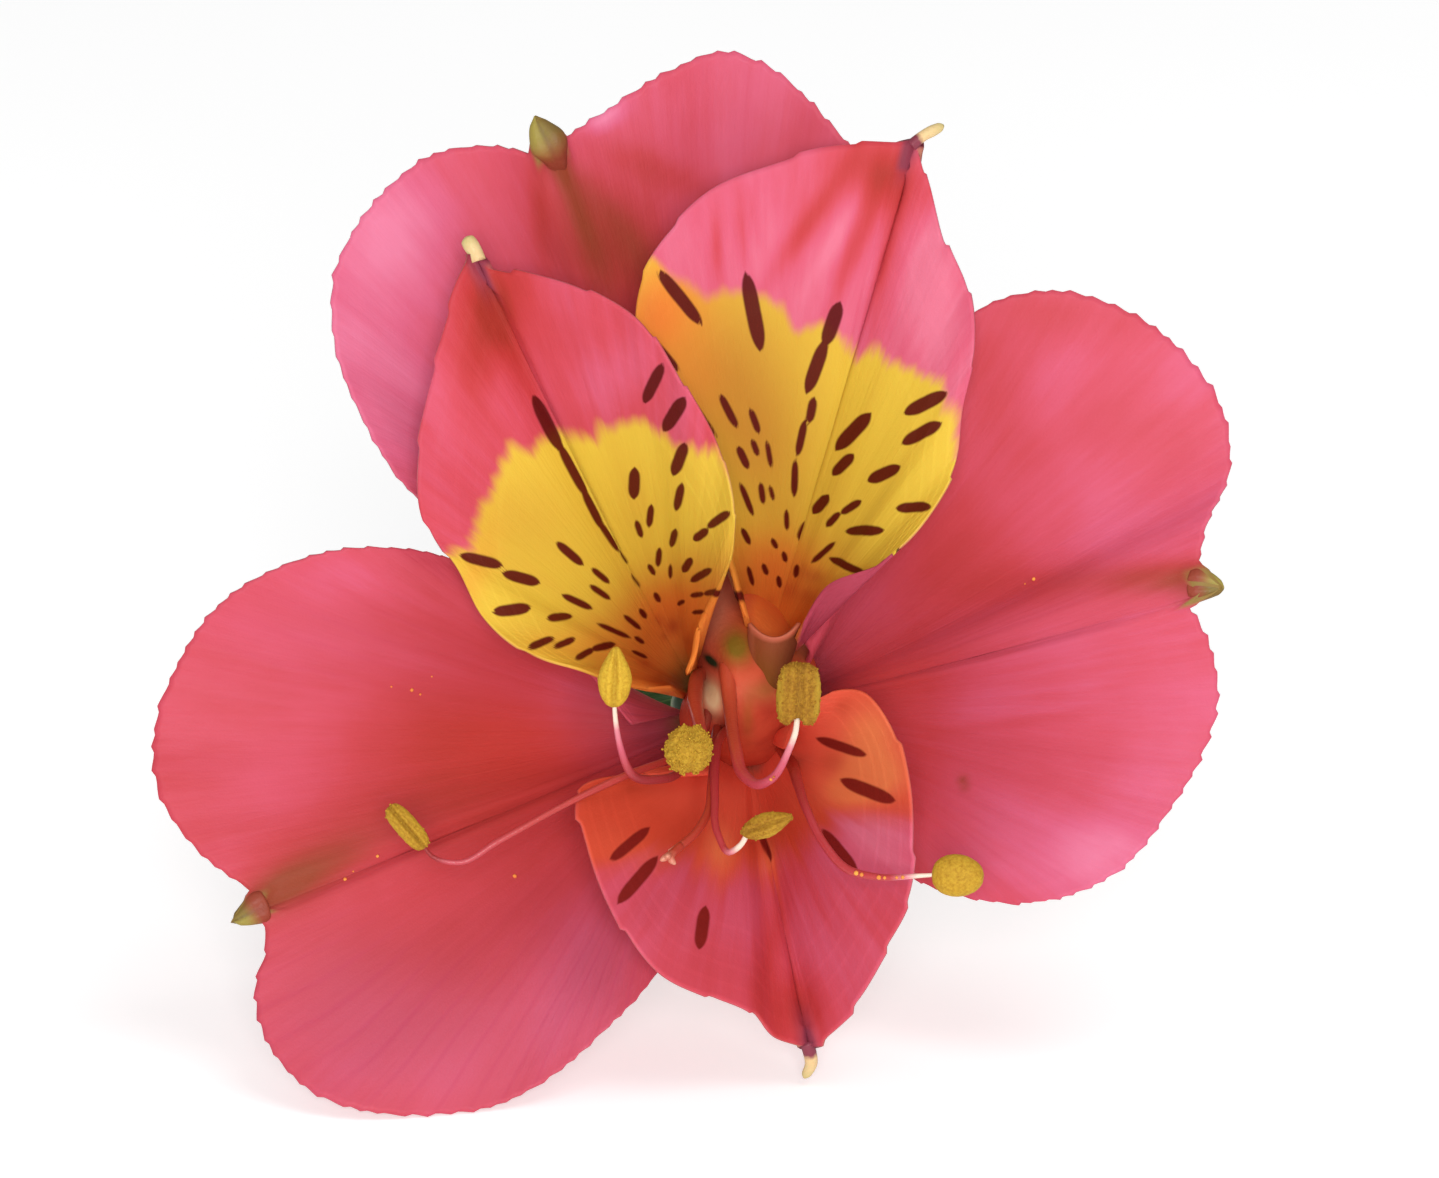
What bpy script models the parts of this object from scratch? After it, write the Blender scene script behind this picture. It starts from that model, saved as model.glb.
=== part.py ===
"""Cut alstroemeria stem with one open bloom, lying on a table with its bloom facing the front.

The bloom is described in its own face frame, in millimetres: across (to the right), up, and out
(towards whoever looks into the bloom). The throat of the bloom is the face frame's zero point.
The pedicel, stem, bracts and leaves are described in the table frame, in millimetres as well.
"""
import math

import bmesh
import bpy
import numpy as np

MM = 0.001

# Place and tilt of the bloom's face over the table
FACE_TILT = math.radians(15.0)
FACE_CENTRE = np.array((2.7, -58.8, 25.12))
FACE_ACROSS = np.array((1.0, 0.0, 0.0))
FACE_UP = np.array((0.0, math.sin(FACE_TILT), math.cos(FACE_TILT)))
FACE_OUT = np.array((0.0, -math.cos(FACE_TILT), math.sin(FACE_TILT)))

# Claws: the narrow feet of the tepals, standing in a ring on top of the ovary
CLAW_RING_RADIUS = 2.9
CLAW_FOOT_OUT = -30.0
CLAW_HALF_ANGLE = 23.0
CLAW_STRAIGHT = 0.8
CLAW_FLARE = 0.35
BLADE_REACH = 0.45

# Blades
TEPAL_THICKNESS = 0.6
LEAF_THICKNESS = 0.6
OUTER_SIDE_COLUMNS = 20
INNER_SIDE_COLUMNS = 13
TEPAL_ROWS = 8
OUTER_TOOTH = 0.3
INNER_TOOTH = 0.0
MIDRIB_GROOVE_WIDTH = 0.12
MARGIN_WAVE = 0.45
MARGIN_WAVES = 2.5

# Stamens and style, standing in two rings inside the claws
FILAMENT_RING_RADIUS = 1.75
FILAMENT_FOOT_OUT = -29.9
FILAMENT_STEPS = 12

# Ovary: rings from its flat top to the joint with the pedicel, as (radius, out)
OVARY_RIBS = 6
OVARY_RIB_HEIGHT = 0.09
OVARY_SECTIONS = 24
OVARY_RINGS = 10
OVARY_PROFILE = [
    (0.0, -30.3),
    (2.6, -30.3),
    (3.7, -30.6),
    (4.1, -32.4),
    (3.9, -35.4),
    (3.0, -38.2),
    (1.9, -39.9),
    (1.3, -40.6),
    (0.0, -40.6),
]

# Pedicel and stem: where the pedicel meets the ovary in the face frame, then points of the centre
# line on the table as (x, y, z), each with the radius there
PEDICEL_TOP = ((0.0, 0.0, -40.9), 1.25)
PEDICEL_PATH = [
    ((2.9, -9.0, 11.9), 1.15),
    ((3.2, 4.0, 8.4), 1.15),
    ((2.9, 15.5, 5.8), 1.4),
]
STEM_PATH = [
    ((2.85, 16.6, 5.6), 1.75),
    ((2.6, 22.0, 4.5), 2.1),
    ((1.9, 32.0, 2.95), 2.05),
    ((0.6, 45.0, 2.2), 2.1),
    ((-0.8, 60.0, 2.17), 2.15),
    ((-1.6, 70.7, 2.2), 2.2),
]
PATH_SPACING = 2.6

# Tepals. Each margin runs from the claw to the point at the tip; left is the anticlockwise side.
TEPALS = {
    "outer_tepal_top": {
        "claw": 106.0,
        "throat": (-2.3, 8.0, -14.5),
        "throat_half_width": 2.6,
        "swell": 2.0,
        "groove": 0.7,
        "left": [
            (-5.0, 7.2, -14.5), (-9.5, 9.2, -10.5), (-15.5, 10.8, -7.0), (-20.7, 13.2, -4.6),
            (-24.0, 18.0, -3.4), (-26.0, 23.5, -3.2), (-25.9, 27.8, -3.4), (-23.4, 32.2, -3.8),
            (-19.2, 35.5, -4.0), (-15.7, 35.9, -3.8), (-13.4, 35.4, -3.2),
        ],
        "tip": (-12.8, 37.8, -2.2),
        "right": [
            (0.5, 9.0, -14.5), (3.9, 12.9, -12.0), (7.2, 17.4, -9.0), (9.2, 23.0, -6.4),
            (9.9, 29.0, -4.6), (8.7, 34.0, -4.2), (5.8, 37.8, -4.2), (2.2, 41.1, -4.4),
            (-0.8, 42.1, -4.6), (-4.4, 40.7, -4.4), (-8.2, 38.3, -4.0), (-10.9, 36.5, -3.4),
        ],
    },
    "outer_tepal_right": {
        "claw": 346.0,
        "throat": (6.4, -0.6, -12.0),
        "throat_half_width": 2.6,
        "swell": 4.0,
        "groove": 0.7,
        "left": [
            (6.7, 2.2, -12.0), (9.0, 8.0, -8.0), (11.0, 14.5, -5.5), (13.0, 20.5, -3.6),
            (15.5, 25.0, -2.0), (20.6, 26.4, -2.0), (25.3, 25.1, -2.2), (29.3, 22.1, -2.4),
            (31.8, 18.0, -2.4), (31.9, 14.5, -1.8), (30.4, 11.3, -1.0), (29.9, 9.0, -0.6),
        ],
        "tip": (31.5, 7.3, 0.0),
        "right": [
            (6.1, -3.4, -12.0), (8.4, -8.3, -8.5), (11.4, -11.5, -5.5), (15.8, -13.0, -3.6),
            (20.5, -12.9, -2.2), (24.8, -11.0, -2.0), (27.9, -7.4, -2.0), (30.0, -4.0, -2.0),
            (31.2, 0.5, -1.8), (30.4, 4.0, -1.2), (29.3, 5.9, -0.6),
        ],
    },
    "outer_tepal_left": {
        "claw": 226.0,
        "throat": (-5.2, -3.9, -12.0),
        "throat_half_width": 2.6,
        "swell": 4.0,
        "groove": 0.7,
        "left": [
            (-3.6, -6.1, -12.0), (-3.2, -10.3, -8.5), (-3.6, -14.0, -5.5), (-4.9, -17.4, -3.0),
            (-8.3, -21.1, -0.6), (-12.1, -24.3, 1.2), (-15.2, -25.9, 2.2), (-19.3, -26.45, 2.9),
            (-23.5, -26.2, 3.0), (-27.5, -24.7, 2.4), (-30.2, -21.5, 1.4), (-30.8, -18.3, 0.4),
            (-30.2, -16.0, -0.4), (-30.4, -14.3, -0.8),
        ],
        "tip": (-32.6, -14.4, -0.8),
        "right": [
            (-6.8, -1.8, -12.0), (-9.8, 2.0, -8.5), (-13.5, 5.8, -5.5), (-18.0, 8.9, -3.2),
            (-23.5, 9.8, -1.6), (-29.0, 8.7, -1.4), (-33.2, 6.2, -1.6), (-36.0, 2.4, -1.8),
            (-37.6, -2.5, -2.0), (-37.1, -6.3, -1.8), (-34.6, -9.8, -1.4), (-31.3, -12.3, -1.0),
        ],
    },
    "inner_tepal_right": {
        "claw": 46.0,
        "throat": (2.6, 4.4, -7.0),
        "throat_half_width": 1.9,
        "swell": 3.0,
        "groove": 0.5,
        "left": [
            (0.7, 5.3, -7.0), (-0.3, 8.5, -3.5), (-1.6, 13.0, -0.5), (-4.0, 18.5, 1.6),
            (-6.3, 23.5, 2.6), (-6.0, 26.8, 2.8), (-4.2, 30.0, 2.8), (-1.6, 32.6, 2.8),
            (2.5, 34.4, 2.8), (6.8, 35.6, 2.6), (10.0, 35.7, 2.2),
        ],
        "tip": (12.9, 37.0, 1.8),
        "right": [
            (4.5, 5.0, -6.0), (6.1, 7.4, -3.6), (9.4, 8.8, -1.0), (12.2, 11.6, 0.8),
            (14.2, 15.5, 1.8), (14.5, 18.5, 2.2), (15.3, 22.8, 2.4), (14.9, 26.3, 2.6),
            (13.4, 29.4, 2.6), (12.1, 33.0, 2.4), (11.6, 34.6, 2.2),
        ],
    },
    "inner_tepal_left": {
        "claw": 166.0,
        "throat": (-3.6, 2.4, -6.0),
        "throat_half_width": 1.9,
        "swell": 3.0,
        "groove": 0.5,
        "left": [
            (-4.6, 0.7, -6.0), (-7.0, 0.9, -3.0), (-9.8, 1.9, -1.2), (-13.2, 3.0, -0.2),
            (-16.0, 5.2, 0.4), (-17.8, 8.4, 0.8), (-19.9, 11.6, 1.4), (-20.3, 15.0, 2.0),
            (-19.8, 19.0, 2.6), (-18.8, 23.0, 2.8), (-17.9, 26.5, 2.6), (-17.2, 28.3, 2.2),
        ],
        "tip": (-16.9, 29.6, 2.0),
        "right": [
            (-2.4, 4.2, -6.0), (-1.4, 6.4, -2.0), (-0.2, 9.5, 2.4), (-0.1, 12.2, 4.2),
            (-1.2, 16.4, 5.2), (-3.4, 20.2, 5.4), (-6.4, 24.4, 5.0), (-9.6, 26.2, 4.4),
            (-13.3, 27.2, 3.2), (-15.6, 27.6, 2.4),
        ],
    },
    "inner_tepal_lower": {
        "claw": 286.0,
        "throat": (0.9, -4.5, -8.0),
        "throat_half_width": 2.2,
        "swell": -0.5,
        "groove": 1.2,
        "left": [
            (3.6, -3.2, -7.5), (4.6, -0.6, -4.0), (6.3, 0.9, -1.0), (8.6, 0.8, 1.0),
            (10.4, -1.6, 2.4), (11.3, -5.0, 3.2), (11.5, -9.0, 3.4), (11.1, -12.8, 2.8),
            (9.4, -16.4, 1.6), (7.9, -19.3, 0.2), (5.6, -22.2, -1.8),
        ],
        "tip": (4.6, -24.9, -3.5),
        "right": [
            (-1.8, -5.0, -8.0), (-4.2, -5.0, -4.5), (-7.2, -4.8, -0.8), (-10.0, -5.9, 2.0),
            (-9.3, -9.6, 3.4), (-7.9, -13.0, 4.0), (-4.7, -17.4, 3.4), (-1.6, -18.9, 2.0),
            (1.1, -20.0, 0.6), (2.6, -21.7, -0.8), (4.1, -22.2, -1.6),
        ],
    },
}

# Stamens: the filament's foot angle, its path in the face frame with the radius at foot and end,
# and the anther's centre, long axis and half sizes (long, wide, thick)
STAMENS = {
    1: {
        "foot": 166.0,
        "path": [
            (-2.3, -0.3, -15.0), (-4.0, -2.0, -4.0), (-5.5, -4.1, 3.4), (-6.9, -4.4, 6.4),
            (-7.4, -2.6, 8.0), (-7.6, -0.8, 8.8),
        ],
        "radii": (0.42, 0.3),
        "anther": ((-7.6, 1.6, 9.6), (0.0, 1.0, 0.25), (1.95, 1.1, 0.9)),
    },
    2: {
        "foot": 106.0,
        "path": [
            (-0.9, 0.7, -15.0), (-1.7, -0.9, -4.0), (-2.2, -2.2, 4.0), (-2.9, -3.1, 7.9),
        ],
        "radii": (0.42, 0.3),
        "anther": ((-3.0, -3.2, 10.0), (0.2, 0.5, 1.0), (1.75, 1.6, 1.5)),
    },
    3: {
        "foot": 46.0,
        "path": [
            (0.9, 0.6, -15.0), (0.4, -1.4, -5.0), (0.4, -4.3, 2.2), (1.5, -5.4, 5.2),
            (2.7, -4.4, 7.2), (3.6, -2.6, 8.4), (3.9, -1.9, 8.8),
        ],
        "radii": (0.45, 0.32),
        "anther": ((4.0, 0.5, 9.6), (0.05, 1.0, 0.3), (2.05, 1.35, 1.0)),
    },
    4: {
        "foot": 286.0,
        "path": [
            (0.5, -1.9, -15.0), (-0.4, -3.4, -5.0), (-1.2, -6.2, 1.5), (-1.3, -8.7, 4.6),
            (-0.5, -9.8, 6.0), (0.15, -9.2, 6.8),
        ],
        "radii": (0.42, 0.3),
        "anther": ((2.0, -7.8, 7.6), (1.0, 0.5, 0.15), (1.7, 0.85, 0.8)),
    },
    5: {
        "foot": 226.0,
        "path": [
            (-1.9, -2.2, -15.0), (-4.2, -3.5, -3.6), (-7.2, -4.2, 1.8), (-10.6, -6.2, 4.2),
            (-15.2, -9.0, 5.0), (-17.6, -10.2, 5.2), (-19.2, -9.8, 5.4),
        ],
        "radii": (0.36, 0.3),
        "anther": ((-20.9, -8.0, 5.6), (0.66, -0.75, 0.0), (1.75, 0.72, 0.7)),
    },
    6: {
        "foot": 346.0,
        "path": [
            (1.8, -1.2, -15.0), (2.4, -2.6, -5.0), (3.8, -5.2, 1.8), (5.5, -8.4, 5.2),
            (8.2, -11.0, 7.0), (12.0, -11.0, 7.8),
        ],
        "radii": (0.48, 0.32),
        "anther": ((14.1, -11.0, 8.0), (1.0, -0.05, 0.1), (1.65, 1.35, 1.0)),
    },
}

STYLE_PATH = [
    (0.0, 0.0, -29.9), (-0.6, -0.5, -18.0), (-2.2, -2.9, -7.0), (-3.0, -5.8, 0.0),
    (-3.3, -8.6, 4.4), (-4.8, -10.5, 6.2),
]
STYLE_RADII = (0.5, 0.42)

# Leaves and bracts: foot, two guide points and tip of the midrib, half width, and which way the
# upper face looks
LEAVES = {
    "bract_1": {
        "midrib": [(4.9, 16.6, 7.6), (9.0, 10.0, 11.5), (15.0, -2.0, 15.5), (19.5, -17.0, 14.0)],
        "half_width": 3.4,
        "faces": (-0.5, 0.2, 0.9),
    },
    "bract_2": {
        "midrib": [(0.7, 16.6, 7.4), (-2.5, 9.0, 11.0), (-5.0, -1.0, 16.0), (-9.0, -13.0, 21.5)],
        "half_width": 3.6,
        "faces": (0.3, -0.7, 0.7),
    },
    "bract_3": {
        "midrib": [(2.9, 16.4, 8.2), (3.2, 9.0, 14.0), (2.0, -1.0, 23.0), (-1.0, -9.0, 33.0)],
        "half_width": 3.2,
        "faces": (0.0, -0.8, 0.6),
    },
    "bract_4": {
        "midrib": [(0.5, 17.2, 4.7), (-7.0, 9.0, 3.6), (-14.0, -2.0, 4.6), (-20.0, -14.0, 4.0)],
        "half_width": 3.0,
        "faces": (0.2, 0.0, 1.0),
    },
    "leaf_1": {
        "midrib": [(4.5, 33.0, 4.5), (9.0, 27.0, 9.5), (17.0, 14.0, 14.0), (20.0, -4.0, 9.0)],
        "half_width": 4.6,
        "faces": (-0.2, 0.3, 0.95),
    },
    "leaf_2": {
        "midrib": [(-1.5, 46.0, 4.3), (-6.0, 40.0, 8.5), (-15.0, 25.0, 12.0), (-20.0, 5.0, 7.0)],
        "half_width": 4.8,
        "faces": (0.2, 0.3, 0.95),
    },
    "leaf_3": {
        "midrib": [(0.0, 59.0, 5.0), (1.5, 52.0, 10.0), (7.0, 38.0, 17.0), (9.0, 20.0, 20.0)],
        "half_width": 4.2,
        "faces": (-0.1, -0.3, 0.95),
    },
}
LEAF_ROWS = 12
LEAF_COLUMNS = 4
LEAF_FOOT_HALF_WIDTH = 0.7
LEAF_TIP_HALF_WIDTH = 0.2
LEAF_WIDEST_AT = 0.42
LEAF_TWIST_ENDS = 0.22
LEAF_FOLD = 0.28
LEAF_WAVE = 0.5
LEAF_WAVES = 2.5


def face_to_table(point):
    """A point of the bloom's face frame, in table millimetres."""
    across, up, out = point
    return FACE_CENTRE + FACE_ACROSS * across + FACE_UP * up + FACE_OUT * out


def unit(vector):
    return vector / np.linalg.norm(vector)


def smooth_path(points, fractions):
    """Points on one smooth curve through the given points, at fractions of its chord length."""
    points = np.array(points, dtype=float)
    chords = np.linalg.norm(np.diff(points, axis=0), axis=1)
    reach = np.concatenate(([0.0], np.cumsum(chords)))
    slopes = np.diff(points, axis=0) / chords[:, None]
    tangents = np.empty_like(points)
    tangents[0] = slopes[0]
    tangents[-1] = slopes[-1]
    before = chords[:-1, None]
    after = chords[1:, None]
    tangents[1:-1] = (slopes[:-1] * after + slopes[1:] * before) / (before + after)
    result = []
    for fraction in fractions:
        at = fraction * reach[-1]
        k = min(int(np.searchsorted(reach, at, side="right")) - 1, len(chords) - 1)
        t = (at - reach[k]) / chords[k]
        start = (1 + 2 * t) * (1 - t) ** 2 * points[k] + t * (1 - t) ** 2 * chords[k] * tangents[k]
        end = t * t * (3 - 2 * t) * points[k + 1] - t * t * (1 - t) * chords[k] * tangents[k + 1]
        result.append(start + end)
    return np.array(result)


def bezier(p0, p1, p2, p3, t):
    return (1 - t) ** 3 * p0 + 3 * t * (1 - t) ** 2 * p1 + 3 * t * t * (1 - t) * p2 + t ** 3 * p3


def ring_point(angle, radius, out):
    """A point of the face frame at an angle round the throat, anticlockwise from the right."""
    turn = math.radians(angle)
    return np.array((radius * math.cos(turn), radius * math.sin(turn), out))


def material(name, colour, roughness):
    """A plain surface of one colour."""
    made = bpy.data.materials.new(name)
    made.use_nodes = True
    shader = made.node_tree.nodes["Principled BSDF"]
    shader.inputs["Base Color"].default_value = (*colour, 1.0)
    shader.inputs["Roughness"].default_value = roughness
    shader.inputs["Metallic"].default_value = 0.0
    return made


def outer_tepal_material():
    return material("outer_tepal_pink", (0.80, 0.13, 0.20), 0.5)


def inner_tepal_material():
    return material("inner_tepal_pink_and_yellow", (0.86, 0.42, 0.12), 0.5)


def filament_material():
    return material("filament_crimson", (0.72, 0.10, 0.15), 0.4)


def anther_material():
    return material("anther_gold", (0.75, 0.50, 0.04), 0.75)


def stem_material():
    return material("stem_green", (0.16, 0.28, 0.06), 0.45)


def leaf_material():
    return material("leaf_green", (0.06, 0.20, 0.04), 0.45)


def finish(name, mesh, collection, surface):
    """Puts a mesh into the stem's collection as one named piece."""
    made = bpy.data.objects.new(name, mesh)
    made.data.materials.append(surface)
    collection.objects.link(made)
    return made


def grid_mesh(name, columns, rows, place):
    """A grid whose corners are moved to place(column, row), split into triangles."""
    shape = bmesh.new()
    bmesh.ops.create_grid(shape, x_segments=columns, y_segments=rows, size=1.0)
    for corner in shape.verts:
        column = round((corner.co.x + 1) / 2 * columns)
        row = round((corner.co.y + 1) / 2 * rows)
        corner.co = place(column, row) * MM
    bmesh.ops.triangulate(shape, faces=shape.faces[:], quad_method="SHORT_EDGE")
    mesh = bpy.data.meshes.new(name)
    shape.to_mesh(mesh)
    shape.free()
    mesh.shade_smooth()
    return mesh


def thicken(piece, thickness):
    """Gives an open blade its thickness, half to each side."""
    wall = piece.modifiers.new("thickness", "SOLIDIFY")
    wall.thickness = thickness * MM
    wall.offset = 0.0
    wall.use_even_offset = False


def tepal_margin(tepal, side_columns, tooth):
    """The margin's points from the left side of the claw, round the tip, to its right side."""
    fractions = np.linspace(0.0, 1.0, side_columns + 1)
    left = smooth_path(tepal["left"], fractions)
    right = smooth_path(tepal["right"], fractions)
    margin = np.vstack((left, [tepal["tip"]], right[::-1]))
    middle = len(margin) // 2
    throat = np.array(tepal["throat"])
    for k in range(3, len(margin) - 3):
        if k % 2 == 1 and abs(k - middle) > 1:
            margin[k] += unit(margin[k] - throat) * tooth
    return margin


def tepal_ray(tepal, side, edge, t):
    """A point on the ray from the claw's foot to the margin point edge; side runs from -1 to 1."""
    foot = ring_point(tepal["claw"] - side * CLAW_HALF_ANGLE, CLAW_RING_RADIUS, CLAW_FOOT_OUT)
    throat = np.array(tepal["throat"])
    outward = unit(np.array((throat[0], throat[1], 0.0)))
    leftward = np.array((-outward[1], outward[0], 0.0))
    neck = throat - leftward * side * tepal["throat_half_width"]
    rise = foot + (neck - foot) * np.array((CLAW_FLARE, CLAW_FLARE, CLAW_STRAIGHT))
    spread = neck + (edge - neck) * BLADE_REACH
    spread[2] += tepal["swell"] * (1 - side * side)
    point = bezier(foot, rise, spread, edge, t)
    groove = tepal["groove"] * math.exp(-((side / MIDRIB_GROOVE_WIDTH) ** 2))
    point[2] -= groove * math.sin(math.pi * t) ** 2
    wave = MARGIN_WAVE * math.sin(2 * math.pi * MARGIN_WAVES * side + tepal["claw"])
    point[2] += wave * (1 - side ** 4) * t ** 3 * min(1.0, abs(side) / MIDRIB_GROOVE_WIDTH)
    return point


def tepal(name, collection, surface, side_columns, tooth):
    shape = TEPALS[name]
    margin = tepal_margin(shape, side_columns, tooth)
    last = len(margin) - 1

    def place(column, row):
        side = 2 * column / last - 1
        return face_to_table(tepal_ray(shape, side, margin[column], row / TEPAL_ROWS))

    piece = finish(name, grid_mesh(name, last, TEPAL_ROWS, place), collection, surface)
    thicken(piece, TEPAL_THICKNESS)


def tube(name, points, radii, collection, surface):
    """A round tube along the points, in table millimetres, with a radius at each point."""
    curve = bpy.data.curves.new(name, "CURVE")
    curve.dimensions = "3D"
    curve.bevel_depth = MM
    curve.bevel_resolution = 2
    curve.use_fill_caps = True
    spline = curve.splines.new("POLY")
    spline.points.add(len(points) - 1)
    for corner, point, radius in zip(spline.points, points, radii):
        corner.co = (*(point * MM), 1.0)
        corner.radius = radius
    spline.use_smooth = True
    return finish(name, curve, collection, surface)


def tapered(radii, count):
    return np.linspace(radii[0], radii[1], count)


def filament(number, collection, surface):
    stamen = STAMENS[number]
    foot = ring_point(stamen["foot"], FILAMENT_RING_RADIUS, FILAMENT_FOOT_OUT)
    path = smooth_path([foot, *stamen["path"]], np.linspace(0.0, 1.0, FILAMENT_STEPS + 1))
    points = [face_to_table(point) for point in path]
    tube(f"filament_{number}", points, tapered(stamen["radii"], len(points)), collection, surface)


def anther(number, collection, surface):
    """Two lobes side by side, with a groove along the front and the back."""
    centre, axis, (half_length, half_width, half_depth) = STAMENS[number]["anther"]
    along = unit(np.array(axis))
    facing = np.array((0.0, 0.0, 1.0)) if abs(along[2]) < 0.8 else np.array((0.0, -1.0, 0.0))
    facing = unit(facing - along * np.dot(facing, along))
    sideways = np.cross(facing, along)
    shape = bmesh.new()
    bmesh.ops.create_uvsphere(shape, u_segments=12, v_segments=8, radius=1.0)
    for corner in shape.verts:
        x, y, z = corner.co
        round_share = math.hypot(x, y)
        groove = 1 - 0.3 * round_share * math.exp(-((x / 0.35) ** 2))
        place = np.array(centre) + sideways * x * half_width
        place = place + facing * y * half_depth * groove + along * z * half_length
        corner.co = face_to_table(place) * MM
    mesh = bpy.data.meshes.new(f"anther_{number}")
    shape.to_mesh(mesh)
    shape.free()
    mesh.shade_smooth()
    finish(f"anther_{number}", mesh, collection, surface)


def style(collection, surface):
    path = smooth_path(STYLE_PATH, np.linspace(0.0, 1.0, FILAMENT_STEPS + 1))
    points = [face_to_table(point) for point in path]
    tube("style", points, tapered(STYLE_RADII, len(points)), collection, surface)


def ovary(collection, surface):
    """A ribbed cup: the rings of a sphere moved onto the turned profile."""
    shape = bmesh.new()
    bmesh.ops.create_uvsphere(
        shape, u_segments=OVARY_SECTIONS, v_segments=OVARY_RINGS, radius=1.0
    )
    profile = [(radius, out, 0.0) for radius, out in OVARY_PROFILE]
    rings = smooth_path(profile, np.linspace(0.0, 1.0, OVARY_RINGS + 1))
    for corner in shape.verts:
        ring = round(math.acos(max(-1.0, min(1.0, corner.co.z))) / math.pi * OVARY_RINGS)
        turn = math.atan2(corner.co.y, corner.co.x)
        radius, out, _ = rings[ring]
        rib = 1 + OVARY_RIB_HEIGHT * math.cos(OVARY_RIBS * (turn - math.radians(16.0)))
        radius = max(radius, 0.0) * rib
        corner.co = face_to_table(ring_point(math.degrees(turn), radius, out)) * MM
    mesh = bpy.data.meshes.new("ovary")
    shape.to_mesh(mesh)
    shape.free()
    mesh.shade_smooth()
    finish("ovary", mesh, collection, surface)


def stalk(name, path, collection, surface):
    """A tapering stalk along a centre line given with its radii."""
    table = [(*point, radius) for point, radius in path]
    length = sum(
        math.dist(table[k][:3], table[k + 1][:3]) for k in range(len(table) - 1)
    )
    steps = max(4, round(length / PATH_SPACING))
    made = smooth_path(table, np.linspace(0.0, 1.0, steps + 1))
    tube(name, [row[:3] for row in made], [row[3] for row in made], collection, surface)


def leaf_half_width(widest, s):
    """A lance shape: narrow foot, widest below the middle, long point."""
    if s < LEAF_WIDEST_AT:
        share = math.sin(math.pi / 2 * s / LEAF_WIDEST_AT) ** 1.5
        return LEAF_FOOT_HALF_WIDTH + (widest - LEAF_FOOT_HALF_WIDTH) * share
    share = math.cos(math.pi / 2 * (s - LEAF_WIDEST_AT) / (1 - LEAF_WIDEST_AT))
    return LEAF_TIP_HALF_WIDTH + (widest - LEAF_TIP_HALF_WIDTH) * share


def leaf_point(leaf, s, x):
    """A point of the leaf: s along the midrib from foot to tip, x across from -1 to 1."""
    p0, p1, p2, p3 = (np.array(point) for point in leaf["midrib"])
    centre = bezier(p0, p1, p2, p3, s)
    step = 0.01
    ahead = bezier(p0, p1, p2, p3, min(1.0, s + step))
    behind = bezier(p0, p1, p2, p3, max(0.0, s - step))
    along = unit(ahead - behind)
    upper = np.array(leaf["faces"])
    upper = unit(upper - along * np.dot(upper, along))
    sideways = np.cross(along, upper)
    twist = math.pi * max(0.0, 1 - s / LEAF_TWIST_ENDS)
    turned = sideways * math.cos(twist) + upper * math.sin(twist)
    normal = upper * math.cos(twist) - sideways * math.sin(twist)
    width = leaf_half_width(leaf["half_width"], s)
    wave = LEAF_WAVE * math.sin(2 * math.pi * LEAF_WAVES * s) * x * abs(x) * math.sin(math.pi * s)
    return centre + turned * x * width + normal * (LEAF_FOLD * abs(x) * width + wave)


def leaf(name, collection, surface):
    shape = LEAVES[name]

    def place(column, row):
        return leaf_point(shape, row / LEAF_ROWS, 2 * column / LEAF_COLUMNS - 1)

    piece = finish(name, grid_mesh(name, LEAF_COLUMNS, LEAF_ROWS, place), collection, surface)
    thicken(piece, LEAF_THICKNESS)


def main():
    for thing in list(bpy.data.objects):
        bpy.data.objects.remove(thing, do_unlink=True)
    collection = bpy.data.collections.new("alstroemeria_stem")
    bpy.context.scene.collection.children.link(collection)
    outer_pink = outer_tepal_material()
    inner_pink = inner_tepal_material()
    crimson = filament_material()
    gold = anther_material()
    stem_green = stem_material()
    leaf_green = leaf_material()
    for name in TEPALS:
        if name.startswith("outer"):
            tepal(name, collection, outer_pink, OUTER_SIDE_COLUMNS, OUTER_TOOTH)
        else:
            tepal(name, collection, inner_pink, INNER_SIDE_COLUMNS, INNER_TOOTH)
    for number in STAMENS:
        filament(number, collection, crimson)
        anther(number, collection, gold)
    style(collection, crimson)
    ovary(collection, stem_green)
    top, top_radius = PEDICEL_TOP
    pedicel_path = [(face_to_table(top), top_radius), *PEDICEL_PATH]
    stalk("pedicel", pedicel_path, collection, stem_green)
    stalk("stem", STEM_PATH, collection, stem_green)
    for name in LEAVES:
        leaf(name, collection, leaf_green)


main()
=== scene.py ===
"""Looks of a cut alstroemeria lying on a table: one open bloom on a short leafy stem.

The bloom is described in its own face frame, in millimetres: across (to the right), up, and out
(towards whoever looks into the bloom), with its throat at zero. Stalks and leaves are described
in the table frame, in millimetres too. Markings on the tepals are placed where the photograph
shows them, in photograph pixels, and then lie on the tepals as seen from the camera's place.
"""
import math

import bpy
import numpy as np
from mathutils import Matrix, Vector, noise


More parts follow.
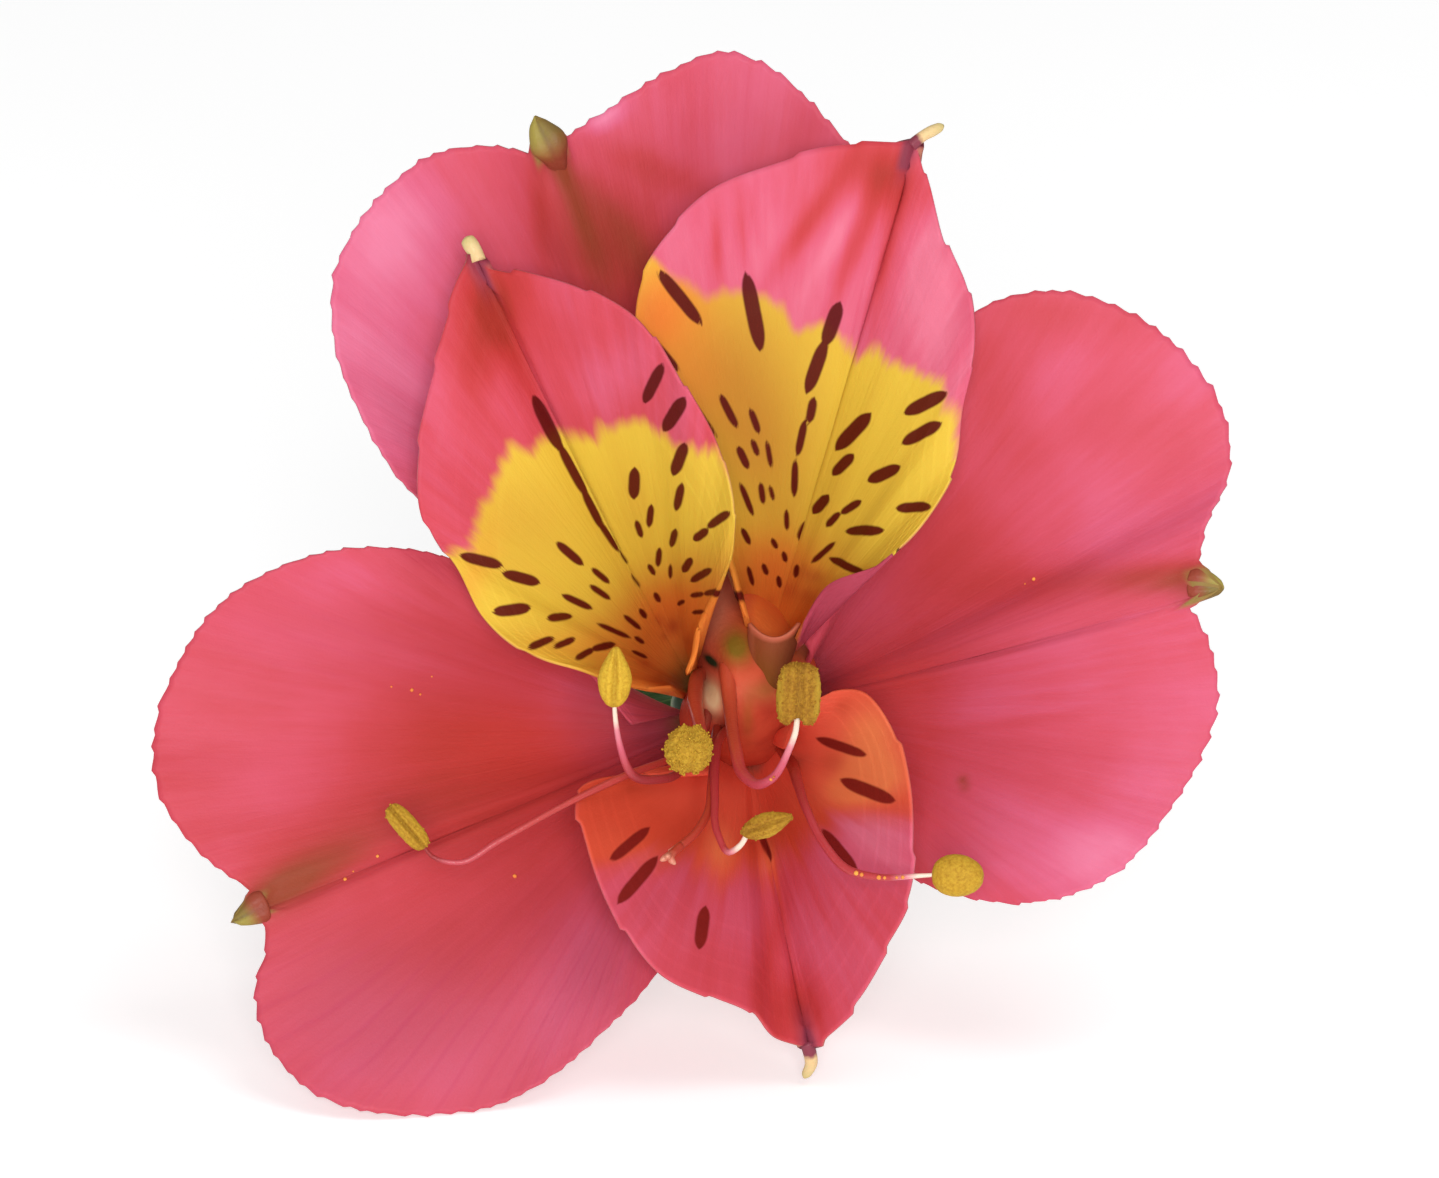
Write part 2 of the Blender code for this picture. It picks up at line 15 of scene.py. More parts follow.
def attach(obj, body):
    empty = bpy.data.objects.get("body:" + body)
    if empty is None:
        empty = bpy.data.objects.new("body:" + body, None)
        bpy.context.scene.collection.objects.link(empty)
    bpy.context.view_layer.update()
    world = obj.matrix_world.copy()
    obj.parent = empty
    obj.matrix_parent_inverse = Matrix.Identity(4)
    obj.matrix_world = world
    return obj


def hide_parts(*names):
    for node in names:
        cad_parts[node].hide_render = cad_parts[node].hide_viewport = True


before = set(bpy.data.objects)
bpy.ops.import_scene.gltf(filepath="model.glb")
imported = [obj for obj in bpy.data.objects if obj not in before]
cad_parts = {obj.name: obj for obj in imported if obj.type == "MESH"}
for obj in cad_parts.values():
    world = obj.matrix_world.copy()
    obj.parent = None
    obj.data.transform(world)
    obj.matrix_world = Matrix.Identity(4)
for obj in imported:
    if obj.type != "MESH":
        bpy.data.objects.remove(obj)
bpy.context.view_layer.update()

MM = 0.001
SEED = 11

# Place and tilt of the bloom's face over the table
FACE_TILT = math.radians(15.0)
FACE_CENTRE = np.array((2.7, -58.8, 25.12))
FACE_ACROSS = np.array((1.0, 0.0, 0.0))
FACE_UP = np.array((0.0, math.sin(FACE_TILT), math.cos(FACE_TILT)))
FACE_OUT = np.array((0.0, -math.cos(FACE_TILT), math.sin(FACE_TILT)))

# Camera: it looks straight into the bloom's face
CAMERA_PLACE = (-1.0, 7.16, 450.0)
SENSOR_WIDTH = 36.0
FRAME_PIXELS = (1439, 1178)
PIXELS_PER_MM = 15.5
FRAME_MIDDLE = (719.5, 589.0)
THROAT_PIXEL = (735.0, 700.0)

# Claws: the narrow feet of the tepals, standing in a ring on top of the ovary
CLAW_RING_RADIUS = 2.9
CLAW_FOOT_OUT = -30.6
CLAW_HALF_ANGLE = 23.0
CLAW_STRAIGHT = 0.8
CLAW_FLARE = 0.35
BLADE_REACH = 0.45
CLAW_END = 0.3

# Blades. A blade's grid has columns on each side of its tip, and closer rows near its rim.
BLADES = {
    "outer": {
        "margin_steps": 20, "side_columns": 150, "rows": 44, "rim": 0.93, "rim_rows": 9,
        "tooth_pitches": (3, 3, 4, 4, 5), "teeth_from": 0.94, "pleat_height": 0.12,
    },
    "inner": {
        "margin_steps": 13, "side_columns": 124, "rows": 128, "rim": 0.97, "rim_rows": 5,
        "tooth_pitches": (7, 11, 16, 24), "teeth_from": 0.975, "pleat_height": 0.12 * 0.6,
    },
}
TIP_COLUMNS = 13
CLAW_ROWS = 12
MIDRIB_GROOVE_WIDTH = 0.17
MARGIN_WAVE = 0.45
MARGIN_WAVES = 2.5
PLEATS_ACROSS_ALONG = (9.0, 1.2)
FINE_PLEATS_ACROSS_ALONG = (22.0, 1.6)
RUFFLES_ACROSS_ALONG = (13.0, 0.5)
TOOTH_DEPTH = 0.42
RUFFLE_HEIGHT = 0.3
BLADE_THICKNESS = 0.34
RIM_THINNING = 0.45
MIDRIB_BODY = 0.16
NECK_BODY = 0.5
MUCRO_THICKNESS = 0.9
THICKNESS_LEVELS = 20

# Steps along the path of each long thin form
FILAMENT_STEPS = 120
STYLE_STEPS = 80
STIGMA_STEPS = 16
POINT_STEPS = 24
HOOD_STEPS = 32
FOOT_WALL_STEPS = 40
STALK_STEPS = 120

# Filaments: the ring that their feet stand in, where they meet the anther as a share of its half
# length, and how they narrow just before it
FILAMENT_RING_RADIUS = 1.75
FILAMENT_FOOT_OUT = -30.5
ANTHER_JOINT = 0.72
FILAMENT_NECK = (0.95, 0.62, 14)

OVARY_RIBS = 6
OVARY_RIB_TURN = math.radians(16.0)
OVARY_RIB_HEIGHT = 0.09
OVARY_PROFILE = [
    (0.0, -30.3), (2.6, -30.3), (3.7, -30.6), (4.1, -32.4), (3.9, -35.4), (3.0, -38.2),
    (1.9, -39.9), (1.3, -40.6), (0.0, -40.6),
]
PEDICEL_TOP = ((0.0, 0.0, -40.4), 1.25)
PEDICEL_PATH = [
    ((2.9, -9.0, 11.9), 1.15),
    ((3.2, 4.0, 8.4), 1.15),
    ((2.9, 15.5, 5.8), 1.4),
]
STEM_PATH = [
    ((2.9, 15.4, 5.82), 1.5),
    ((2.85, 16.6, 5.6), 1.8),
    ((2.6, 22.0, 4.5), 2.1),
    ((1.9, 32.0, 2.95), 2.05),
    ((0.6, 45.0, 2.2), 2.1),
    ((-0.8, 60.0, 2.17), 2.15),
    ((-1.6, 70.7, 2.2), 2.2),
]

# Cut face of the stem: what lies this near the end belongs to it, and the width and height of
# each step from its rim to its pith
CUT_FACE_DEPTH = 0.3
CUT_FACE_INSETS = [(0.35, 0.0), (0.15, -0.25), (0.5, 0.06)]

# Tepals. Each margin runs from the claw to the point at the tip; left is the anticlockwise side.
TEPALS = {
    "outer_tepal_top": {
        "claw": 106.0,
        "throat": (-2.3, 8.0, -14.5),
        "throat_half_width": 2.6,
        "swell": 2.0,
        "groove": 0.12,
        "left": [
            (-5.0, 7.2, -14.5), (-9.5, 9.2, -10.5), (-15.5, 10.8, -7.0), (-20.7, 13.2, -4.6),
            (-24.0, 18.0, -3.4), (-26.0, 23.5, -3.2), (-25.9, 27.8, -3.4), (-23.4, 32.2, -3.8),
            (-19.2, 35.5, -4.0), (-15.7, 35.9, -3.8), (-13.4, 35.4, -3.2),
        ],
        "tip": (-12.8, 37.8, -2.2),
        "right": [
            (0.5, 9.0, -14.5), (3.9, 12.9, -12.0), (7.2, 17.4, -9.0), (9.2, 23.0, -6.4),
            (9.9, 29.0, -4.6), (8.7, 34.0, -4.2), (5.8, 37.8, -4.2), (2.2, 41.1, -4.4),
            (-0.8, 42.1, -4.6), (-4.4, 40.7, -4.4), (-8.2, 38.3, -4.0), (-10.9, 36.5, -3.4),
        ],
    },
    "outer_tepal_right": {
        "claw": 346.0,
        "throat": (6.4, -0.6, -12.0),
        "throat_half_width": 2.6,
        "swell": 4.0,
        "groove": 0.12,
        "left": [
            (4.6, 3.6, -12.5), (7.4, 9.2, -9.0), (10.6, 14.9, -5.9), (13.0, 20.5, -3.6),
            (15.5, 25.0, -2.0), (20.6, 26.4, -2.0), (25.3, 25.1, -2.2), (29.3, 22.1, -2.4),
            (31.8, 18.0, -2.4), (31.9, 14.5, -1.8), (30.4, 11.3, -1.0), (29.9, 9.0, -0.6),
        ],
        "tip": (31.5, 7.3, 0.0),
        "right": [
            (6.1, -3.4, -12.0), (8.4, -8.3, -8.5), (11.4, -11.5, -5.5), (15.8, -13.0, -3.6),
            (20.5, -12.9, -2.2), (24.8, -11.0, -2.0), (27.9, -7.4, -2.0), (30.0, -4.0, -2.0),
            (31.2, 0.5, -1.8), (30.4, 4.0, -1.2), (29.3, 5.9, -0.6),
        ],
    },
    "outer_tepal_left": {
        "claw": 226.0,
        "throat": (-5.2, -3.9, -12.0),
        "throat_half_width": 2.6,
        "swell": 4.0,
        "groove": 0.12,
        "left": [
            (-3.6, -6.1, -12.0), (-3.2, -10.3, -8.5), (-3.6, -14.0, -5.5), (-4.9, -17.4, -3.0),
            (-8.3, -21.1, -0.6), (-12.1, -24.3, 1.2), (-15.2, -25.9, 2.2), (-19.3, -26.45, 2.9),
            (-23.5, -26.2, 3.0), (-27.5, -24.7, 2.4), (-30.2, -21.5, 1.4), (-30.8, -18.3, 0.4),
            (-30.2, -16.0, -0.4), (-30.4, -14.3, -0.8),
        ],
        "tip": (-32.6, -14.4, -0.8),
        "right": [
            (-6.8, -1.8, -12.0), (-9.8, 2.0, -8.5), (-13.5, 5.8, -5.5), (-18.0, 8.9, -3.2),
            (-23.5, 9.8, -1.6), (-29.0, 8.7, -1.4), (-33.2, 6.2, -1.6), (-36.0, 2.4, -1.8),
            (-37.6, -2.5, -2.0), (-37.1, -6.3, -1.8), (-34.6, -9.8, -1.4), (-31.3, -12.3, -1.0),
        ],
    },
    "inner_tepal_right": {
        "claw": 46.0,
        "throat": (2.6, 4.4, -7.0),
        "throat_half_width": 1.9,
        "swell": 3.0,
        "groove": 0.02,
        "left": [
            (0.7, 5.3, -7.0), (-0.3, 8.5, -3.5), (-1.6, 13.0, -0.5), (-4.0, 18.5, 1.6),
            (-6.3, 23.5, 2.6), (-6.0, 26.8, 2.8), (-4.2, 30.0, 2.8), (-1.6, 32.6, 2.8),
            (2.5, 34.4, 2.8), (6.8, 35.6, 2.6), (10.3, 35.7, 2.3),
        ],
        "tip": (11.9, 36.2, 2.1),
        "right": [
            (4.5, 5.0, -6.0), (6.1, 7.4, -3.6), (9.4, 8.8, -1.0), (12.2, 11.6, 0.8),
            (14.2, 15.5, 1.8), (14.5, 18.5, 2.2), (15.3, 22.8, 2.4), (14.9, 26.3, 2.6),
            (13.4, 29.4, 2.6), (12.4, 33.0, 2.4), (11.7, 35.0, 2.3),
        ],
    },
    "inner_tepal_left": {
        "claw": 166.0,
        "throat": (-3.6, 1.5, -7.6),
        "throat_half_width": 1.0,
        "swell": 3.0,
        "groove": 0.07,
        "left": [
            (-4.2, 0.75, -7.2), (-7.0, 0.85, -3.0), (-9.8, 1.9, -1.2), (-13.2, 3.0, -0.2),
            (-16.0, 5.2, 0.4), (-17.8, 8.4, 0.8), (-19.9, 11.6, 1.4), (-20.3, 15.0, 2.0),
            (-19.8, 19.0, 2.6), (-18.8, 23.0, 2.8), (-17.9, 26.5, 2.6), (-17.2, 28.3, 2.2),
        ],
        "tip": (-16.6, 28.7, 2.1),
        "right": [
            (-3.1, 1.5, -7.6), (-2.5, 3.1, -6.4), (-2.2, 5.0, -4.4), (-1.3, 7.0, -1.2),
            (-0.2, 9.5, 2.4), (-0.1, 12.2, 4.2), (-1.2, 16.4, 5.2), (-3.4, 20.2, 5.4),
            (-6.4, 24.4, 5.0), (-9.6, 26.2, 4.4), (-13.3, 27.2, 3.2), (-15.6, 27.6, 2.4),
        ],
    },
    "inner_tepal_lower": {
        "claw": 286.0,
        "throat": (0.9, -4.5, -8.0),
        "throat_half_width": 2.2,
        "swell": -0.5,
        "groove": 0.45,
        "left": [
            (3.6, -3.2, -7.5), (4.6, -0.8, -4.0), (6.2, 0.4, -1.0), (8.2, 0.4, 1.0),
            (10.0, -1.8, 2.4), (11.0, -5.2, 3.2), (11.3, -9.0, 3.4), (11.0, -12.8, 2.8),
            (9.4, -16.4, 1.6), (7.9, -19.3, 0.2), (5.6, -22.2, -1.8),
        ],
        "tip": (4.7, -22.7, -2.3),
        "right": [
            (-1.8, -5.0, -8.0), (-4.2, -5.0, -4.5), (-7.2, -4.8, -0.8), (-10.0, -5.9, 2.0),
            (-9.3, -9.6, 3.4), (-7.9, -13.0, 4.0), (-4.7, -17.4, 3.4), (-1.6, -18.9, 2.0),
            (1.1, -20.0, 0.6), (2.6, -21.7, -0.8), (4.1, -22.2, -1.6),
        ],
    },
}

# Stamens: foot angle, path with the radius at foot and end, and the anther's centre, long axis
# and half sizes (long, wide, thick)
STAMENS = {
    1: {
        "foot": 166.0,
        "path": [
            (-1.7, -0.6, -12.0), (-2.5, -3.2, -3.6), (-4.6, -5.0, 3.4), (-6.6, -4.6, 6.4),
            (-7.3, -2.8, 8.0), (-7.6, -0.9, 8.8),
        ],
        "radii": (0.42, 0.24),
        "anther": ((-7.6, 1.6, 9.6), (0.04, 1.0, 0.25), (1.98, 1.08, 0.9)),
    },
    2: {
        "foot": 106.0,
        "path": [
            (-1.6, 1.6, -15.5), (-2.45, 1.3, -12.2), (-2.6, 0.2, -9.3), (-2.25, -2.2, -1.6),
            (-2.6, -3.0, 5.0), (-2.9, -3.1, 7.9),
        ],
        "radii": (0.56, 0.4),
        "anther": ((-2.93, -2.95, 10.0), (0.2, 0.5, 1.0), (1.7, 1.42, 1.45)),
    },
    3: {
        "foot": 46.0,
        "path": [
            (-0.2, 2.6, -12.5), (-0.5, 2.2, -9.2), (-0.35, 0.0, -7.0), (0.05, -3.2, 0.0),
            (0.5, -4.7, 3.0), (1.5, -5.3, 5.2), (2.6, -4.6, 7.0), (3.4, -3.0, 8.2),
            (3.8, -1.9, 8.8),
        ],
        "radii": (0.66, 0.27),
        "anther": ((4.0, 0.5, 9.6), (0.05, 1.0, 0.3), (2.05, 1.38, 1.0)),
    },
    4: {
        "foot": 286.0,
        "path": [
            (0.3, -1.9, -15.0), (-1.2, -3.2, -4.0), (-1.3, -6.2, 1.5), (-1.1, -8.5, 4.6),
            (-0.4, -9.6, 6.0), (0.35, -9.1, 6.8),
        ],
        "radii": (0.4, 0.24),
        "anther": ((2.0, -7.8, 7.6), (1.0, 0.36, 0.15), (1.72, 0.8, 0.8)),
    },
    5: {
        "foot": 226.0,
        "path": [
            (-1.9, -2.2, -15.0), (-4.2, -3.9, -3.6), (-7.4, -5.0, 1.4), (-10.8, -6.6, 3.4),
            (-15.2, -9.0, 4.6), (-17.6, -10.3, 5.0), (-19.3, -9.9, 5.3),
        ],
        "radii": (0.3, 0.19),
        "anther": ((-20.9, -8.0, 5.6), (0.66, -0.75, 0.0), (1.75, 0.72, 0.7)),
    },
    6: {
        "foot": 346.0,
        "path": [
            (2.4, -2.2, -18.0), (3.5, -3.9, -12.5), (3.9, -4.7, -6.5), (4.1, -5.5, 0.5),
            (4.6, -7.0, 3.6), (5.6, -9.0, 5.2), (7.2, -10.7, 6.4), (8.8, -11.1, 7.1),
            (12.0, -11.0, 7.8),
        ],
        "radii": (0.56, 0.2),
        "anther": ((14.1, -11.0, 8.0), (1.0, -0.05, 0.1), (1.65, 1.35, 1.0)),
    },
}

# How each anther has opened: how square its ends are, depth of the groove between its lobes,
# height of the ridge in that groove, how grainy its pollen is, how far it narrows to its far end
# and how deep the notch at its near end is
ANTHER_LOOKS = {
    1: {
        "square": 2.1, "groove": 0.36, "ridge": 0.0, "grain": 0.03, "tone": 0.0, "grains": 0,
        "taper": 0.42, "notch": 0.0,
    },
    2: {
        "square": 2.3, "groove": 0.18, "ridge": 0.0, "grain": 0.17, "tone": 0.5, "grains": 620,
        "taper": 0.0, "notch": 0.0,
    },
    3: {
        "square": 3.6, "groove": 0.5, "ridge": 0.46, "grain": 0.06, "tone": 1.0, "grains": 150,
        "taper": 0.05, "notch": 0.3,
    },
    4: {
        "square": 1.9, "groove": 0.35, "ridge": 0.0, "grain": 0.05, "tone": 0.85, "grains": 40,
        "taper": 0.3, "notch": 0.0,
    },
    5: {
        "square": 3.0, "groove": 0.5, "ridge": 0.0, "grain": 0.05, "tone": 0.55, "grains": 30,
        "taper": 0.0, "notch": 0.0,
    },
    6: {
        "square": 2.3, "groove": 0.05, "ridge": 0.0, "grain": 0.02, "tone": 0.45, "grains": 0,
        "taper": 0.12, "notch": 0.0,
    },
}

# Cream points of the inner tepals, each from its neck to its end with the radius there
POINTS = {
    "inner_tepal_right": [
        ((11.3, 35.6, 2.3), 0.42), ((12.0, 36.2, 2.2), 0.36), ((12.7, 36.6, 2.0), 0.38),
        ((13.4, 36.95, 1.8), 0.27),
    ],
    "inner_tepal_left": [
        ((-16.45, 28.2, 2.3), 0.5), ((-16.7, 28.8, 2.2), 0.5), ((-17.0, 29.3, 2.1), 0.53),
        ((-17.3, 29.75, 2.0), 0.42),
    ],
    "inner_tepal_lower": [
        ((4.65, -22.2, -2.0), 0.46), ((4.85, -22.9, -2.3), 0.45), ((4.95, -23.6, -2.7), 0.42),
        ((4.5, -24.6, -3.2), 0.28),
    ],
}

# Green hoods at the tips of the outer tepals, from neck to end with the half width there
HOODS = {
    "outer_tepal_top": [
        ((-11.3, 34.2, -4.0), 0.4), ((-11.7, 35.2, -3.1), 0.85), ((-12.1, 36.1, -2.6), 1.25),
        ((-12.6, 37.0, -2.4), 0.85), ((-12.97, 37.85, -2.3), 0.22),
    ],
    "outer_tepal_right": [
        ((29.3, 7.5, -0.7), 0.95), ((29.95, 7.45, -0.5), 1.15), ((30.7, 7.35, -0.3), 0.85),
        ((31.55, 7.2, -0.1), 0.33),
    ],
    "outer_tepal_left": [
        ((-30.2, -13.2, -1.0), 0.95), ((-30.7, -13.4, -0.9), 1.1), ((-31.5, -13.85, -0.8), 0.8),
        ((-32.4, -14.3, -0.75), 0.33),
    ],
}
HOOD_FLATNESS = 0.6

# Floor of the throat: its middle and top, its radius and how far it falls towards its rim. Its
# dent and its tongue are each given by direction, half width in degrees and size.
LINING_MIDDLE = (0.5, 0.5)
LINING_TOP = -7.6
LINING_RADIUS = 5.2
LINING_DROP = 9.0
LINING_BODY = 1.6
LINING_DENT = (165.0, 36.0, 2.0)
LINING_TONGUE = (100.0, 30.0, 2.9)
LINING_RIDGES = 6
LINING_RIDGE_TURN = 46.0
LINING_RIDGE_HEIGHT = 2.2

# Rolled foot of the right inner tepal: its front wall from the mouth down, with its radius
FOOT_WALL = [
    ((2.6, 4.0, -9.0), 1.62), ((2.5, 3.0, -9.1), 1.5), ((2.35, 1.8, -9.2), 1.15),
    ((2.2, 0.6, -9.5), 0.8), ((2.0, -0.6, -10.6), 0.5),
]
FOOT_WALL_TURN = 98.0
FOOT_WALL_SHOULDER = 0.95
FOOT_WALL_BULGE = 0.8
FOOT_WALL_THICKNESS = 0.26

STYLE_PATH = [
    (0.0, 0.0, -30.5), (-0.6, -0.5, -18.0), (-1.3, -2.9, -7.0), (-1.5, -5.4, -0.5),
    (-1.8, -7.3, 2.4), (-2.6, -8.5, 4.1), (-4.1, -9.65, 5.7),
]
STYLE_RADII = (0.42, 0.26)
STIGMA_LOBES = [(-4.75, -10.1, 6.5), (-3.8, -10.35, 6.3), (-4.3, -9.8, 6.9)]
STIGMA_BEND = (-0.1, -0.1, 0.25)

LEAVES = {
    "bract_1": {
        "midrib": [(4.04, 16.6, 6.76), (9.0, 10.0, 11.5), (15.0, -2.0, 15.5), (19.5, -17.0, 14.0)],
        "half_width": 3.4,
        "faces": (-0.5, 0.2, 0.9),
    },
    "bract_2": {
        "midrib": [(1.58, 16.6, 6.66), (-2.5, 9.0, 11.0), (-5.0, -1.0, 16.0), (-9.0, -13.0, 21.5)],
        "half_width": 3.6,
        "faces": (0.3, -0.7, 0.7),
    },
    "bract_3": {
        "midrib": [(2.9, 16.4, 7.2), (3.2, 9.0, 14.0), (2.0, -1.0, 23.0), (-1.0, -9.0, 33.0)],
        "half_width": 3.2,
        "faces": (0.0, -0.8, 0.6),
    },
    "bract_4": {
        "midrib": [(1.26, 17.2, 4.96), (-7.0, 9.0, 3.6), (-14.0, -2.0, 4.6), (-20.0, -14.0, 4.0)],
        "half_width": 3.0,
        "faces": (0.2, 0.0, 1.0),
    },
    "leaf_1": {
        "midrib": [(3.47, 33.0, 3.88), (9.0, 27.0, 9.5), (17.0, 14.0, 14.0), (20.0, -4.0, 9.0)],
        "half_width": 4.6,
        "faces": (-0.2, 0.3, 0.95),
    },
    "leaf_2": {
        "midrib": [(-0.81, 46.0, 3.58), (-6.0, 40.0, 8.5), (-15.0, 25.0, 12.0), (-20.0, 5.0, 7.0)],
        "half_width": 4.8,
        "faces": (0.2, 0.3, 0.95),
    },
    "leaf_3": {
        "midrib": [(-0.24, 59.0, 4.03), (1.5, 52.0, 10.0), (7.0, 38.0, 17.0), (9.0, 20.0, 20.0)],
        "half_width": 4.2,
        "faces": (-0.1, -0.3, 0.95),
    },
}
LEAF_FOOT_HALF_WIDTH = 0.7
LEAF_TIP_HALF_WIDTH = 0.2
LEAF_WIDEST_AT = 0.42
LEAF_TWIST_ENDS = 0.22
LEAF_FOLD = 0.28
LEAF_WAVE = 0.5
LEAF_WAVES = 2.5
LEAF_FURROW = 0.05
LEAF_THICKNESS = 0.4
LEAF_MARGIN_THINNING = 0.4

# Dark nectar streaks, each from end to end with its width, in photograph pixels. A streak is
# widest at its middle, where it reaches this share of its width to each side.
STREAK_HALF = 0.46
STREAKS = {
    "inner_tepal_right": [
        (656, 268, 702, 326, 14), (745, 270, 761, 352, 17), (840, 300, 824, 346, 16),
        (826, 338, 806, 393, 15), (651, 339, 679, 372, 9), (683, 390, 717, 438, 6),
        (718, 392, 737, 428, 9), (749, 406, 759, 433, 8), (814, 395, 809, 422, 10),
        (805, 418, 797, 455, 9), (795, 457, 794, 496, 8), (873, 412, 837, 450, 16),
        (949, 392, 905, 414, 15), (943, 422, 903, 444, 14), (856, 453, 834, 475, 12),
        (903, 466, 869, 481, 14), (897, 508, 933, 507, 12), (831, 494, 815, 513, 12),
        (864, 500, 842, 513, 9), (842, 511, 828, 526, 8), (847, 531, 887, 530, 11),
        (838, 541, 813, 562, 7), (831, 557, 868, 575, 9), (736, 444, 748, 468, 9),
        (751, 437, 758, 455, 7), (766, 438, 771, 467, 6), (738, 480, 753, 515, 7),
        (760, 480, 763, 503, 7), (769, 483, 773, 499, 5), (786, 507, 787, 529, 6),
        (806, 518, 798, 538, 8), (740, 526, 749, 543, 7), (771, 536, 777, 547, 6),
        (783, 549, 786, 560, 6), (800, 563, 798, 577, 6), (746, 564, 752, 584, 6),
        (762, 561, 767, 573, 6), (778, 573, 780, 585, 6), (732, 588, 756, 613, 6),
    ],
    "inner_tepal_left": [
        (531, 394, 560, 452, 15), (556, 442, 586, 498, 11), (580, 488, 601, 530, 9),
        (596, 520, 617, 552, 7), (618, 549, 629, 564, 8), (629, 571, 641, 587, 8),
        (664, 362, 645, 403, 13), (686, 396, 665, 431, 15), (687, 441, 675, 475, 13),
        (636, 465, 635, 498, 13), (684, 481, 678, 510, 9), (653, 502, 650, 526, 8),
        (637, 518, 643, 536, 7), (732, 511, 709, 527, 10), (711, 528, 695, 539, 10),
        (678, 527, 673, 546, 8), (554, 541, 582, 565, 10), (458, 555, 502, 566, 13),
        (500, 573, 539, 583, 13), (589, 567, 608, 583, 7), (587, 584, 609, 599, 7),
        (559, 594, 591, 609, 8), (491, 612, 530, 608, 13), (544, 619, 571, 617, 9),
        (526, 650, 553, 638, 9), (551, 650, 574, 638, 8), (573, 662, 592, 649, 8),
        (588, 650, 614, 645, 8), (594, 623, 629, 638, 6), (621, 614, 639, 629, 6),
        (637, 608, 644, 618, 6), (632, 636, 642, 643, 5), (629, 651, 645, 658, 5),
        (655, 590, 661, 600, 6), (649, 562, 656, 573, 6), (661, 545, 659, 565, 7),
        (672, 562, 672, 577, 5), (694, 556, 685, 571, 9), (715, 568, 692, 580, 9),
        (692, 594, 707, 593, 6), (706, 593, 724, 591, 7), (679, 603, 687, 599, 5),
        (694, 611, 707, 611, 5),
    ],
    "inner_tepal_lower": [
        (608, 862, 648, 828, 12), (616, 905, 656, 857, 14), (704, 907, 698, 951, 14),
        (758, 830, 773, 864, 11), (818, 737, 870, 756, 11), (842, 779, 898, 802, 15),
        (824, 829, 860, 873, 12),
    ],
}

# Faint reddish blotches between the streaks, each with its middle and radius in pixels and its
# strength
BLOTCHES = {
    "inner_tepal_right": [
        (808, 572, 9, 0.5), (820, 576, 8, 0.5), (791, 589, 10, 0.5), (810, 595, 10, 0.5),
        (770, 600, 8, 0.4),
    ],
    "inner_tepal_left": [
        (674, 624, 9, 0.8), (658, 618, 6, 0.6), (662, 635, 5, 0.5), (656, 681, 12, 0.5),
        (672, 683, 10, 0.5), (690, 640, 7, 0.4), (643, 664, 7, 0.5),
    ],
    "inner_tepal_lower": [(844, 705, 10, 0.5), (627, 788, 7, 0.4), (836, 760, 12, 0.4)],
}

# Outline of the golden zone of each upper inner tepal, and of the orange zone of the lower one
GOLD_ZONES = {
    "inner_tepal_right": [
        (600, 256), (655, 262), (689, 280), (708, 298), (737, 287), (764, 292), (783, 303),
        (796, 325), (820, 318), (847, 335), (860, 359), (879, 349), (900, 367), (937, 379),
        (950, 395), (955, 430), (964, 470), (985, 560), (985, 660), (735, 730), (600, 650),
    ],
    "inner_tepal_left": [
        (430, 560), (466, 545), (490, 492), (511, 444), (532, 455), (542, 440), (560, 430),
        (583, 442), (597, 438), (603, 420), (644, 423), (672, 438), (700, 444), (722, 458),
        (742, 500), (750, 560), (760, 640), (735, 735), (600, 740), (430, 620),
    ],
    "inner_tepal_lower": [
        (560, 740), (560, 845), (585, 868), (640, 868), (690, 862), (716, 888), (745, 872),
        (775, 884), (792, 856), (850, 818), (925, 818), (930, 660), (735, 640),
    ],
}

# Distances to a streak and to a zone's edge are kept within these, in millimetres
MARK_RANGE = (-1.5, 2.0)
GOLD_RANGE = (-6.0, 6.0)

# How deep the pink of each tepal is before its patches, over the pink that its reach gives
BASE_DEPTH = {
    "outer_tepal_top": 0.04,
    "outer_tepal_right": 0.0,
    "outer_tepal_left": 0.1,
    "inner_tepal_right": 0.2,
    "inner_tepal_left": 0.42,
    "inner_tepal_lower": 0.35,
}

